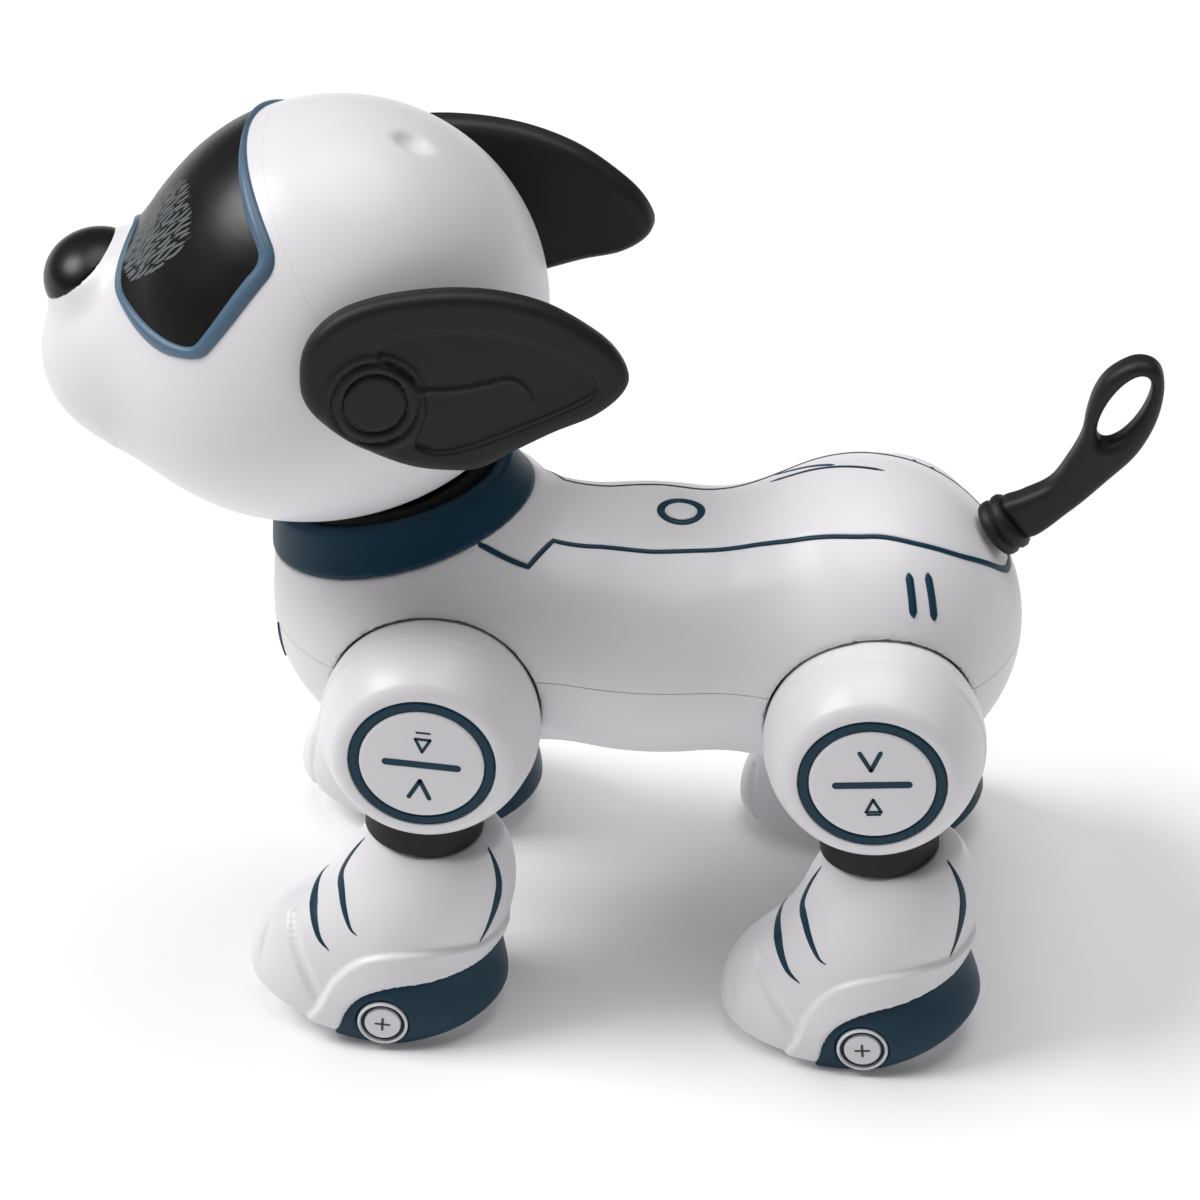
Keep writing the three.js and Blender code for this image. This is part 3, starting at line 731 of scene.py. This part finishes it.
def eye_marks():
    """Each eye is printed under the visor as close rows of broken strokes, running up the face."""
    seeded = np.random.default_rng(7)
    lens = grown(BRIDGE, 0.3)
    shapes = []
    for lane in np.arange(1.5, 28, 1.0):
        spot = -19.0
        while spot < 9:
            length = seeded.uniform(4.0, 11.0)
            up = np.linspace(spot, spot + length, 9)
            sway = 0.22 * np.sin(up * 0.9 + seeded.uniform(0, 6))
            line = np.column_stack([lane + 0.16 * (up + 5) + sway, up])
            line = line[outline_distance(EYE, line) < 0]
            spot += length + seeded.uniform(0.2, 0.7)
            if len(line) < 2:
                continue
            half = np.full(len(line), seeded.uniform(0.37, 0.45))
            half[[0, -1]] = 0.1
            for side in SIDES.values():
                a = (line + np.column_stack([half, half * 0])) * [side, 1]
                b = (line - np.column_stack([half, half * 0])) * [side, 1]
                shapes.append(strip(lens, a, b, face_drop, [(0, -0.03), (0.5, 0.05), (1, -0.03)]))
    piece("eye_marks", joined(*shapes), GREY, "head")


def nose():
    """A glossy button set into the top of the muzzle."""
    whole = both(0.8, NOSE_FIELD, half_space(NOSE_CUT[0], NOSE_CUT[1] - 0.5, -1))
    shape = skin(whole, [106, -15, 146], [138, 15, 172], 0.6)
    piece("nose_button", shape, GLOSS, "head", "nose", sharp=50)


# ---------- Neck and torso ----------
BODY_FIELD = blend(
    12,
    ellipsoid([52, 0, 82.5], [36.5, 37, 33]),
    ellipsoid([4, 0, 80], [50, 35.5, 27.5]),
    ellipsoid([-42, 0, 83], [35.5, 39, 34.5]),
    ellipsoid([60.5, 0, 108.5], [26.5, 22, 28], 18),
)


def neck():
    """The blue collar and the black cup inside it that the head turns in."""
    collar = both(
        0.9,
        grown(BODY_FIELD, 0.45),
        half_space(*COLLAR_HIGH),
        half_space(COLLAR_LOW[0], COLLAR_LOW[1] + 0.1, -1),
        outside(grown(BODY_FIELD, -2.2)),
    )
    piece("collar", skin(collar, [26, -36, 84], [96, 36, 128], 0.7), NAVY, "torso", "neck_collar",
          sharp=60)
    cup = both(
        0.8,
        grown(BODY_FIELD, -2.35),
        outside(ellipsoid(SKULL, [SKULL_R + 1.6] * 3)),
        half_space(COLLAR_LOW[0], COLLAR_LOW[1] - 3, -1),
        outside(bar(SKULL, NECK_LEAN, NECK_BORE_R)),
    )
    piece("neck_sleeve", skin(cup, [30, -27, 86], [94, 27, 140], 0.8), BLACK, "torso", "neck_cup",
          sharp=60)


def hip_sockets():
    """Round dishes in the body that the hip pods turn in."""
    balls = []
    for end in ENDS:
        for sign in SIDES.values():
            centre = (HIP[end] - DATUM) * [1, sign, 1]
            balls.append(outside(ellipsoid(centre, [POD_R + 0.5] * 3)))
            # Below the pod the dish is wider, for the ankle sleeve to swing through.
            low = ellipsoid(centre, [POD_R + 2.0] * 3)
            balls.append(outside(both(1.0, low, half_space(0, centre[2] - 7))))
    return balls


def torso_shells():
    """The upper and lower halves of the body."""
    whole = both(
        0.7,
        BODY_FIELD,
        half_space(*COLLAR_LOW),
        *hip_sockets(),
        outside(both(0.5, bar(SKULL, NECK_LEAN, NECK_BORE_R), half_space(0, NECK_BORE_FLOOR, -1))),
    )
    shape = skin(whole, [-81, -42, 46], [92, 42, 124], 0.9)
    slit = 0.08
    upper = sliced(shape, *plane(0, BODY_SEAM_Z + slit))
    lower = sliced(shape, *plane(0, BODY_SEAM_Z - slit, -1))
    piece("torso_upper", upper, WHITE, "torso", "torso_shell")
    piece("torso_lower", lower, WHITE, "torso", "belly_shell")


def battery_lid():
    """A rounded lid that stands a little proud of the belly."""
    low, high = box_mm("battery_door")
    middle, half = (low + high) / 2, (high - low) / 2
    corner = 4.0

    def outline(p):
        past = np.abs(p[:, :2] - middle[:2]) - half[:2] + corner
        beyond = np.linalg.norm(np.maximum(past, 0), axis=1)
        return beyond + np.minimum(past.max(axis=1), 0) - corner

    lid = both(0.5, grown(BODY_FIELD, 0.5), outline, half_space(0, high[2]))
    piece("battery_lid", skin(lid, low - 3, high + 3, 0.7), WHITE, "torso", "battery_door")


BACK_LINE = [(40.4, 20.6), (29.7, 20.0), (25.0, 12.6), (14.8, 12.5), (3.8, 13.8), (-6.9, 12.6),
             (-17.7, 13.3), (-28.5, 16.0), (-39.2, 17.4), (-45.6, 17.0), (-54.2, 16.4),
             (-62.9, 13.9), (-69.5, 9.2), (-72.9, 4.8), (-73.8, 0.0)]


def back_path(count):
    """The back cover's left edge: straight past its notch, then a flowing curve to the tail."""
    straight = [np.linspace(a, b, 7)[:-1] for a, b in zip(BACK_LINE[:3], BACK_LINE[1:4])]
    curve = smooth_path(BACK_LINE[3:], count)
    return np.concatenate(straight + [curve])


def back_panel():
    """The cover along the back, standing a little proud, with a blue line let in round it."""
    edge = back_path(90)

    def from_above(p):
        high = np.column_stack([p[:, 0], p[:, 1], np.full(len(p), ABOVE_BACK)])
        return high, np.tile(DOWN, (len(p), 1))

    body = both(0.7, BODY_FIELD, half_space(*COLLAR_LOW))
    shares = [(0, -0.3), (0.012, 0.12), (0.03, COVER_RISE)]
    shares += [(t, COVER_RISE) for t in np.linspace(0.06, 0.94, 30)]
    shares += [(0.97, COVER_RISE), (0.988, 0.12), (1, -0.3)]
    panel = strip(body, edge, edge * [1, -1], from_above, shares)
    piece("back_panel", panel, WHITE, "torso", "back_cover", sharp=60)
    whole = np.concatenate([edge, edge[-2::-1] * [1, -1]])
    run = np.gradient(whole, axis=0)
    run /= np.linalg.norm(run, axis=1, keepdims=True) + 1e-9
    across = np.column_stack([-run[:, 1], run[:, 0]]) * 0.52
    line = strip(body, whole + across, whole - across, from_above, inlay(0.3))
    piece("back_line", line, NAVY, "torso", sharp=60)


def body_marks():
    """Raised blue bars on the flanks, strokes on the rump and a stripe beside the chest."""
    shapes = []
    for sign in SIDES.values():
        for a, b in (((-52.0, 23.1, 108.9), (-53.4, 29.6, 101.8)),
                     ((-56.0, 21.6, 108.2), (-57.8, 28.3, 100.4))):
            path = np.linspace(a, b, 5) * [1, sign, 1]
            shapes.append(ribbon(BODY_FIELD, path, 2.2, ridge(0.4), 40, taper=0.12, power=0.5))
        chest = np.array([(85.8, 14.0, 82.6), (85.7, 13.9, 78.0), (84.9, 13.8, 73.5)]) * [1, sign, 1]
        shapes.append(ribbon(BODY_FIELD, chest, 3.0, ridge(0.4), 24, taper=0.3))
    piece("flank_bars", joined(*shapes), NAVY, "torso", sharp=80)
    cover = grown(BODY_FIELD, COVER_RISE)
    strokes = []
    for run in ([(-20.8, -8.6), (-35.0, -6.6), (-45.9, -4.6)], [(-21.7, -13.3), (-35.0, -7.7)]):
        path = np.array([(x, y, ABOVE_RUMP) for x, y in run])
        path = settle(BODY_FIELD, path, DOWN)
        strokes.append(ribbon(cover, path, 1.25, inlay(0.08), 40, taper=0.08))
    piece("rump_strokes", joined(*strokes), NAVY, "torso", sharp=80)


def back_button():
    """A blue ring with a white cap on the back, pressed straight down."""
    low, high = box_mm("back_button")
    x = (low[0] + high[0]) / 2
    ring = turned([(0, -3), (5.3, -3), (5.3, -0.35), (5.0, -0.08), (4.5, 0), (3.9, -0.1),
                   (3.5, -0.5), (3.5, -1.0), (0, -1.0)], 96, 2)
    cap = turned([(0, -1.2), (3.4, -1.2), (3.4, -0.45), (3.1, -0.2), (2.4, -0.05), (0, 0)], 96, 2)

    def place(p):
        spots = p + [x, 0, 0]
        above = np.column_stack([spots[:, :2], np.full(len(p), ABOVE_BACK)])
        spots[:, 2] += settle(BODY_FIELD, above, DOWN)[:, 2] + BUTTON_RISE
        return spots

    piece("button_ring", moved(ring, place), NAVY, "back_button", "back_button")
    piece("button_cap", moved(cap, place), WHITE, "back_button")


# ---------- Tail ----------
TAIL_SIDE = [(-71.3, 113.2), (-75.4, 116.0), (-81.2, 119.6), (-84.6, 125.0), (-87.4, 131.5),
             (-88.2, 137.5), (-89.6, 143.0), (-92.4, 147.4), (-97.6, 150.6), (-102.2, 149.6),
             (-104.1, 145.0), (-103.2, 136.6), (-99.6, 128.2), (-93.6, 121.0), (-86.4, 113.2),
             (-77.4, 105.9)]


def tail():
    """A flat rubber stalk with a long loop, on a round flange."""
    outline = smooth_path(TAIL_SIDE, 110, closed=True)
    half, edge = 3.5, 2.4
    centre, semi, lean = np.array([-96.0, 138.8]), np.array([3.8, 9.2]), math.radians(27)

    def leaf(p):
        flat = p[:, [0, 2]]
        solid = outline_distance(outline, flat)
        q = flat - centre
        u = q[:, 0] * math.cos(lean) + q[:, 1] * math.sin(lean)
        v = -q[:, 0] * math.sin(lean) + q[:, 1] * math.cos(lean)
        near = np.hypot(u / semi[0], v / semi[1]) + 1e-9
        steep = np.hypot(u / semi[0] ** 2, v / semi[1] ** 2) + 1e-9
        solid = np.maximum(solid, -near * (near - 1) / steep)
        a = solid + edge
        b = np.abs(p[:, 1]) - (half - edge)
        return np.hypot(np.maximum(a, 0), np.maximum(b, 0)) + np.minimum(np.maximum(a, b), 0) - edge

    rise = math.radians(TAIL_RISE)
    away = np.array([-math.cos(rise), 0, math.sin(rise)])
    stalk = both(0.5, leaf, lambda p: 1.5 - (p - TAIL_ROOT) @ away)
    body = skin(stalk, [-107, -5, 103], [-68, 5, 153], 0.6)
    flange = turned([(0, 0.2), (5.6, 0.2), (6.2, 0.5), (6.5, 1.2), (6.5, 2.2), (6.2, 2.7), (5.7, 3.0),
                     (5.7, 3.2), (6.2, 3.5), (6.5, 4.0), (6.5, 4.9), (6.1, 5.5), (5.2, 5.9), (0, 6.1)],
                    96, 2)
    flange = moved(flange, lambda p: turn(p, TAIL_RISE - 90, 1) + TAIL_ROOT)
    piece("tail_loop", joined(body, flange), RUBBER, "tail", "tail", sharp=50)


# ---------- Ears ----------
EAR_OUTLINE = [(-14, 5.7), (-13.2, 11.1), (-10.5, 15.8), (-5.4, 19.9), (1.7, 22.3), (9.8, 23.4),
               (18.8, 23.5), (27.9, 22.2), (36.9, 19.1), (44.9, 14), (50.4, 8.9), (53.2, 3),
               (51.3, -1.4), (45.7, -5.6), (37.5, -8.7), (29.2, -12.5), (21.9, -15.9),
               (14.7, -15.9), (6.5, -14.1), (-3.5, -9), (-10.4, -3.4), (-13.4, 1.2)]
EAR_PANEL = [(1.6, 11.8), (6, 14.9), (18.7, 15.1), (28.8, 13.4), (38.9, 9.1), (45.3, 4.1),
             (45.9, 0.3), (41.1, -2.6), (30.8, -6.7), (20.5, -10.2), (13.9, -11.3), (9.8, -10),
             (8.8, -8.8), (9.9, -6.2), (11.3, -1.1), (10.4, 2.7), (7.3, 6.2), (2.2, 10.1)]
EAR_STROKE = [(10.8, 2.5), (17.3, 2.3), (23.5, 3.1), (27.6, 4.0), (30.2, 3.2), (32.2, 0.8),
              (33, -1.5)]


def ease(t):
    t = np.clip(t, 0, 1)
    return t * t * (3 - 2 * t)


def ear_place(sign):
    def place(p):
        # Ear points are (back, up, out of the head).
        spots = np.column_stack([-p[:, 0], p[:, 2], p[:, 1]])
        spots = turn(turn(spots, EAR_LEAN, 0), EAR_SWEEP, 2) + EAR_PIVOT
        return spots * [1, sign, 1]
    return place


def ears():
    """Soft ears with a sunken panel, pinned to the head at a ringed boss."""
    outline = smooth_path(EAR_OUTLINE, 120, closed=True)
    panel = smooth_path(EAR_PANEL, 100, closed=True)
    line = smooth_path(EAR_STROKE, 40)
    edge = 2.5

    def relief(flat):
        """How far the outer face stands out, from the head's side of the ear."""
        level = np.full(len(flat), EAR_THICK)
        level -= 0.9 * ease(0.5 - outline_distance(panel, flat) / 0.9)
        far = np.hypot(flat[:, 0] - 1.0, flat[:, 1] - 0.6)
        level += 0.35 * ease((11.2 - far) / 0.8)
        level -= 0.6 * ease(1 - np.abs(far - 8.9) / 0.75)
        level -= 0.7 * ease(1 - np.abs(far - 6.4) / 0.6)
        gap = np.min(np.hypot(flat[:, None, 0] - line[None, :, 0],
                              flat[:, None, 1] - line[None, :, 1]), axis=1)
        level += 0.55 * ease(1 - gap / 0.9)
        return level

    def field(p):
        flat = p[:, :2]
        solid = outline_distance(outline, flat) + edge
        top = p[:, 2] - relief(flat) + edge
        low = -p[:, 2] + edge * 0.6
        rim = np.hypot(np.maximum(solid, 0), np.maximum(np.maximum(top, low), 0))
        return rim + np.minimum(np.maximum(solid, np.maximum(top, low)), 0) - edge

    shape = skin(field, [-17, -19, -1.4], [56, 26, 7], 0.55)
    pin = turned([(0, -7), (2.9, -7), (2.9, EAR_THICK - 1), (5.7, EAR_THICK - 1),
                  (5.7, EAR_THICK - 0.1), (5.4, EAR_THICK + 0.2), (4.4, EAR_THICK + 0.2),
                  (4.1, EAR_THICK), (0, EAR_THICK)], 96, 2)
    for side, sign in SIDES.items():
        place = ear_place(sign)
        piece(f"ear_flap_{side}", moved(shape, place), RUBBER, f"{side}_ear", f"ear_{side}", sharp=60)
        piece(f"ear_boss_{side}", moved(pin, place), RUBBER, f"{side}_ear", f"ear_pin_{side}")


# ---------- Legs ----------
PAW_FIELD = blend(
    9,
    ellipsoid([-0.8, 0.3, -44.3], [19.3, 17.5, 26], -20),
    ellipsoid([10.8, 0.8, -65.3], [26.5, 18.6, 22], 7),
    ellipsoid([-0.5, 0.8, -66.5], [19, 18.6, 11]),
)
HEEL_LINE = [(12, -82), (15.6, -75), (14.6, -69.7), (13, -64.4), (9.8, -60.3), (3.5, -57.2),
             (-5, -55.6), (-12, -54.1), (-16, -53.0), (-18.8, -51.2), (-24, -47), (-34, -44),
             (-34, -82)]
FENDER_LINE = [(24, -82), (22.8, -72), (19.5, -66), (16.5, -58.5), (11, -52.5), (4, -49.5),
               (-3, -48.4), (-10, -48), (-17, -48.4), (-26, -44), (-36, -42), (-36, -82)]
HEEL_EDGE = smooth_path(HEEL_LINE, 80, closed=True)
FENDER_EDGE = smooth_path(FENDER_LINE, 80, closed=True)
TOE_CREASES = [
    [(27.2, 6.6, -50.1), (25.7, 12.7, -54.5), (23.4, 15.8, -58.2), (20, 18.1, -63.5)],
    [(33.5, 5.5, -56.0), (33.0, 8.0, -62.0), (31.0, 10.5, -70.0)],
    [(33.5, -4.5, -56.0), (33.0, -7.0, -62.0), (31.0, -9.5, -70.0)],
]
STRIPES = [
    [(21.3, -5.7, -45.2), (23, 6, -46.3), (20.9, 12.8, -50.6), (18, 15.5, -52.6)],
    [(12.5, 3.7, -29.5), (17, 4.4, -37.5), (16.5, 9.3, -41), (14, 14.5, -46), (12, 15.8, -47.3)],
    [(-14.8, 6.9, -25.9), (-17.9, 8.6, -34.4), (-16.7, 10.9, -43), (-14.6, 11.9, -48.7)],
]


def in_side_view(outline):
    """An endless prism along y through an (x, z) outline."""
    outline = np.array(outline, float)
    return lambda p: outline_distance(outline, p[:, [0, 2]])


def above_sole(drop):
    """Above a gently rocking sole whose lowest line is `drop` below the axle."""
    radius = 120
    high = radius - AXLE_DROP - drop
    return lambda p: np.hypot(p[:, 0] - AXLE_X, p[:, 2] - high) - radius


def wheel_well(p):
    x, y, z = p[:, 0] - AXLE_X, np.abs(p[:, 1]), p[:, 2] + AXLE_DROP
    across = np.minimum(np.hypot(x, z) - 9.1, np.maximum(np.abs(x) - 9.1, z))
    return np.maximum(y - 6, across)


def shaped_paw(p):
    """The paw with its fender swelling over the heel cover and the creases between the toes."""
    value = PAW_FIELD(p)
    fender = ease(0.5 - in_side_view(FENDER_EDGE)(p) / 1.3)
    heel = ease(0.5 - in_side_view(HEEL_EDGE)(p) / 0.6)
    value = value - 1.2 * fender * (1 - heel) * ease((p[:, 1] + 2) / 8)
    for crease in TOE_CREASES:
        spine = smooth_path(crease, 14)
        gap = np.full(len(p), 1e9)
        near = value < 3
        some = p[near]
        if len(some):
            gap[near] = np.min(np.linalg.norm(some[:, None] - spine[None], axis=2), axis=1)
        value = value + 0.85 * ease(1 - gap / 2.0)
    return value


def cap_hole(p):
    """The round hole that the axle's cap turns in."""
    far = np.hypot(p[:, 0] - AXLE_X, p[:, 2] + AXLE_DROP) - 6.0
    return np.maximum(far, PAW_Y - 2.4 - p[:, 1])


def paw_shape():
    """The white paw, with its flat sole, its wheel well and the axle's hole."""
    whole = both(
        0.8,
        shaped_paw,
        above_sole(SOLE),
        lambda p: p[:, 2] - (ANKLE_Z - 0.3),
        lambda p: INNER_Y - p[:, 1],
        half_space(-180 - HEEL_RISE[0], HEEL_RISE[1] - 0.6),
        outside(wheel_well),
        outside(cap_hole),
    )
    return skin(whole, [-26, -19, -76], [41, 23, -24], 0.65)


def heel_shape():
    """The blue cover that wraps the heel."""
    whole = both(
        0.6,
        grown(PAW_FIELD, 0.4),
        in_side_view(HEEL_EDGE),
        above_sole(COVER_SOLE),
        half_space(-180 - HEEL_RISE[0], HEEL_RISE[1]),
        outside(both(0.5, grown(PAW_FIELD, -2.6), lambda p: INNER_Y + 2 - p[:, 1])),
        lambda p: INNER_Y - 0.3 - p[:, 1],
        outside(wheel_well),
        outside(cap_hole),
    )
    return skin(whole, [-26, -19, -77], [20, 23, -46], 0.6)


def pod_shape():
    """A ball with one flat, recessed face."""
    inner = arc((0, 0), POD_R, -90, 4, 60)
    outer = arc((0, 0), POD_R - 0.3, 5.4, 35, 26)
    lip = [(18.4, 14.35), (17.6, 14.65), (16.9, BADGE_Y), (16.2, BADGE_Y), (15.95, 14.6),
           (15.95, RING_SEAT), (0, RING_SEAT)]
    profile = [(max(r, 0), h) for r, h in inner] + outer + lip
    profile[0] = (0, -POD_R)
    return turned(profile, 128)


def ring_shape():
    top = BADGE_Y + 0.05
    inner = BADGE_R + 0.15
    return turned([(inner, RING_SEAT), (RING_R, RING_SEAT), (RING_R, top - 0.35),
                   (RING_R - 0.35, top), (inner + 0.35, top), (inner, top - 0.35),
                   (inner, RING_SEAT)], 128)


def badge_shape():
    top = BADGE_Y + DISC_RISE
    return turned([(0, RING_SEAT), (BADGE_R, RING_SEAT), (BADGE_R, top - 0.4), (13.1, top - 0.08),
                   (12.7, top), (0, top)], 128)


def badge_marks(end):
    """A wide bar between a chevron and a dashed triangle, which change places on the rear legs."""
    low, high = BADGE_Y + 0.2, BADGE_Y + 0.42
    triangle = [(-1.6, 6.6), (1.6, 6.6), (0, 3.4), (-1.6, 6.6)]
    dash = [(-1.4, 8.3), (1.4, 8.3)]
    chevron = [(-2.1, -8.6), (0.1, -4.2), (2.3, -8.6)]
    if end == "rear":
        triangle = [(x, -z - 0.4) for x, z in triangle]
        dash = [(x, -z + 0.6) for x, z in dash]
        chevron = [(x, -z - 0.4) for x, z in chevron]
    return joined(
        stroke([(-7.7, 0), (7.7, 0)], 1.7, low, high),
        stroke(triangle, 0.7, low, high),
        stroke(dash, 0.5, low, high),
        stroke(chevron, 1.0, low, high),
    )


def sleeve_shape():
    return turned([(0, -8), (SLEEVE_R - 0.4, -8), (SLEEVE_R, -16), (SLEEVE_R, ANKLE_Z + 0.5),
                   (SLEEVE_R - 0.5, ANKLE_Z), (6, ANKLE_Z), (6, -34), (0, -34)], 96, 2)


def to_axle(p):
    return p + [AXLE_X, 0, -AXLE_DROP]


def wheel_shape():
    """A rubber wheel with two grooves round its tread."""
    half, r = 5.0, 7.48
    profile = [(1.9, -half), (4.2, -half), (4.6, -half + 0.5), (5.8, -half + 0.5), (6.2, -half),
               (r - 0.9, -half), (r - 0.25, -half + 0.25), (r, -half + 0.9)]
    for groove in (-1.6, 1.6):
        profile += [(r, groove - 0.5), (r - 0.5, groove - 0.3), (r - 0.5, groove + 0.3),
                    (r, groove + 0.5)]
    profile += [(radius, -y) for radius, y in profile[7::-1]]
    profile.append(profile[0])
    return moved(turned(profile, 96), to_axle)


def cap_shapes():
    """The axle's outer end: a disc in a ring, with a groove between, and a cross."""
    face = PAW_Y + 1.1
    disc = turned([(0, face - 1.2), (4.0, face - 1.2), (4.0, face - 0.25), (3.7, face), (0, face)], 96)
    ring = turned([(4.95, face - 1.6), (5.6, face - 1.6), (5.6, face - 0.25), (5.4, face),
                   (5.15, face), (4.95, face - 0.25), (4.95, face - 1.6)], 96)
    base = turned([(0, 2.0), (1.4, 2.0), (1.4, face - 3), (6.1, face - 3), (5.9, face - 0.9),
                   (0, face - 0.9)], 96)
    cross = joined(stroke([(-1.5, 0), (1.5, 0)], 0.6, face - 0.1, face + 0.07),
                   stroke([(0, -1.5), (0, 1.5)], 0.6, face - 0.1, face + 0.07))
    axle = turned([(0, -15), (1.4, -15), (1.4, 3), (0, 3)], 32)
    return [moved(shape, to_axle) for shape in (disc, ring, base, cross, axle)]


def legs():
    """Four legs to one design: each pod, badge and paw on its hip, each wheel on its axle."""
    paw, heel, pod, ring, badge = paw_shape(), heel_shape(), pod_shape(), ring_shape(), badge_shape()
    sleeve, wheel = sleeve_shape(), wheel_shape()
    disc, cap_ring, cap_base, cross, axle = cap_shapes()
    stripes = joined(*[ribbon(shaped_paw, path, 2.6, inlay(0.12), 60, taper=0.5)
                       for path in STRIPES])
    for end in ENDS:
        marks = badge_marks(end)
        for side in SIDES:
            place, leg = leg_place(end, side), f"{end}_{side}"
            body, rolling = f"{leg}_leg", f"{leg}_wheel"
            piece(f"{leg}_pod", moved(pod, place), WHITE, body, f"{leg}_hip_shell", sharp=30)
            piece(f"{leg}_ring", moved(ring, place), NAVY, body, f"{leg}_hip_ring")
            piece(f"{leg}_disc", moved(badge, place), WHITE, body, f"{leg}_hip_badge")
            piece(f"{leg}_disc_marks", moved(marks, place), NAVY, body)
            piece(f"{leg}_sleeve", moved(sleeve, place), BLACK, body, f"{leg}_ankle_post")
            piece(f"{leg}_paw", moved(paw, place), WHITE, body, f"{leg}_paw_shell", sharp=50)
            piece(f"{leg}_heel", moved(heel, place), NAVY, body, f"{leg}_heel_cover", sharp=50)
            piece(f"{leg}_stripes", moved(stripes, place), NAVY, body, sharp=70)
            piece(f"{leg}_tyre", moved(wheel, place), TYRE, rolling, f"{leg}_wheel")
            piece(f"{leg}_axle_cap", moved(joined(disc, cap_ring, axle), place), WHITE, rolling,
                  f"{leg}_wheel_axle")
            piece(f"{leg}_cap_groove", moved(cap_base, place), NAVY, rolling)
            piece(f"{leg}_cap_cross", moved(cross, place), MARK, rolling)


# ---------- Studio ----------
def floor():
    """A pale, matt floor."""
    mesh = bpy.data.meshes.new("floor")
    half = 6.0
    corners = [(-half, -half, 0), (half, -half, 0), (half, half, 0), (-half, half, 0)]
    mesh.from_pydata(corners, [], [(0, 1, 2, 3)])
    material = bpy.data.materials.new("pale_floor")
    material.use_nodes = True
    shader = material.node_tree.nodes["Principled BSDF"]
    shader.inputs["Base Color"].default_value = (0.90, 0.90, 0.905, 1)
    shader.inputs["Roughness"].default_value = 0.9
    shader.inputs["Emission Color"].default_value = (1, 1, 1, 1)
    shader.inputs["Emission Strength"].default_value = 0.08
    mesh.materials.append(material)
    made = bpy.data.objects.new("floor", mesh)
    bpy.context.scene.collection.objects.link(made)


def sun(name, place, strength, spread):
    """A far, wide soft light; spread is its apparent width in degrees."""
    data = bpy.data.lights.new(name, "SUN")
    data.energy, data.angle = strength, math.radians(spread)
    made = bpy.data.objects.new(name, data)
    made.rotation_mode = "QUATERNION"
    made.rotation_quaternion = (-Vector(place)).to_track_quat("-Z", "Y")
    bpy.context.scene.collection.objects.link(made)


def studio():
    """Dim light all round, a white backdrop, and soft light from the front and from above."""
    world = bpy.data.worlds.new("studio")
    world.use_nodes = True
    tree = world.node_tree
    back = tree.nodes["Background"]
    back.inputs["Color"].default_value = (1.0, 1.0, 1.0, 1)
    seen = tree.nodes.new("ShaderNodeLightPath")
    level = tree.nodes.new("ShaderNodeMapRange")
    level.inputs["To Min"].default_value = 0.10
    level.inputs["To Max"].default_value = 1.0
    tree.links.new(seen.outputs["Is Camera Ray"], level.inputs["Value"])
    tree.links.new(level.outputs["Result"], back.inputs["Strength"])
    bpy.context.scene.world = world
    sun("key", (1.0, 0.0, 1.15), 2.2, 30)
    sun("top", (-0.1, -0.2, 1.5), 1.5, 45)
    bpy.context.scene.view_settings.view_transform = "Standard"
    bpy.context.scene.view_settings.look = "None"


def camera():
    """A long lens on the dog's left, a little behind square, looking down at 33 degrees."""
    azimuth, elevation, distance = math.radians(185), math.radians(33), 0.9
    back = Vector((math.sin(azimuth) * math.cos(elevation),
                   -math.cos(azimuth) * math.cos(elevation), math.sin(elevation)))
    middle = (cad_box[0] + cad_box[1]) / 2
    aim = Vector((middle[0] + 0.0004, middle[1], middle[2] - 0.01704))
    data = bpy.data.cameras.new("camera")
    data.lens, data.sensor_width = 121.5, 36
    made = bpy.data.objects.new("camera", data)
    made.location = aim + back * distance
    made.rotation_mode = "QUATERNION"
    made.rotation_quaternion = (-back).to_track_quat("-Z", "Y")
    bpy.context.scene.collection.objects.link(made)
    bpy.context.scene.camera = made


head_shells()
visor()
eye_marks()
nose()
neck()
torso_shells()
battery_lid()
back_panel()
body_marks()
back_button()
tail()
ears()
legs()
inner_parts()
floor()
studio()
camera()
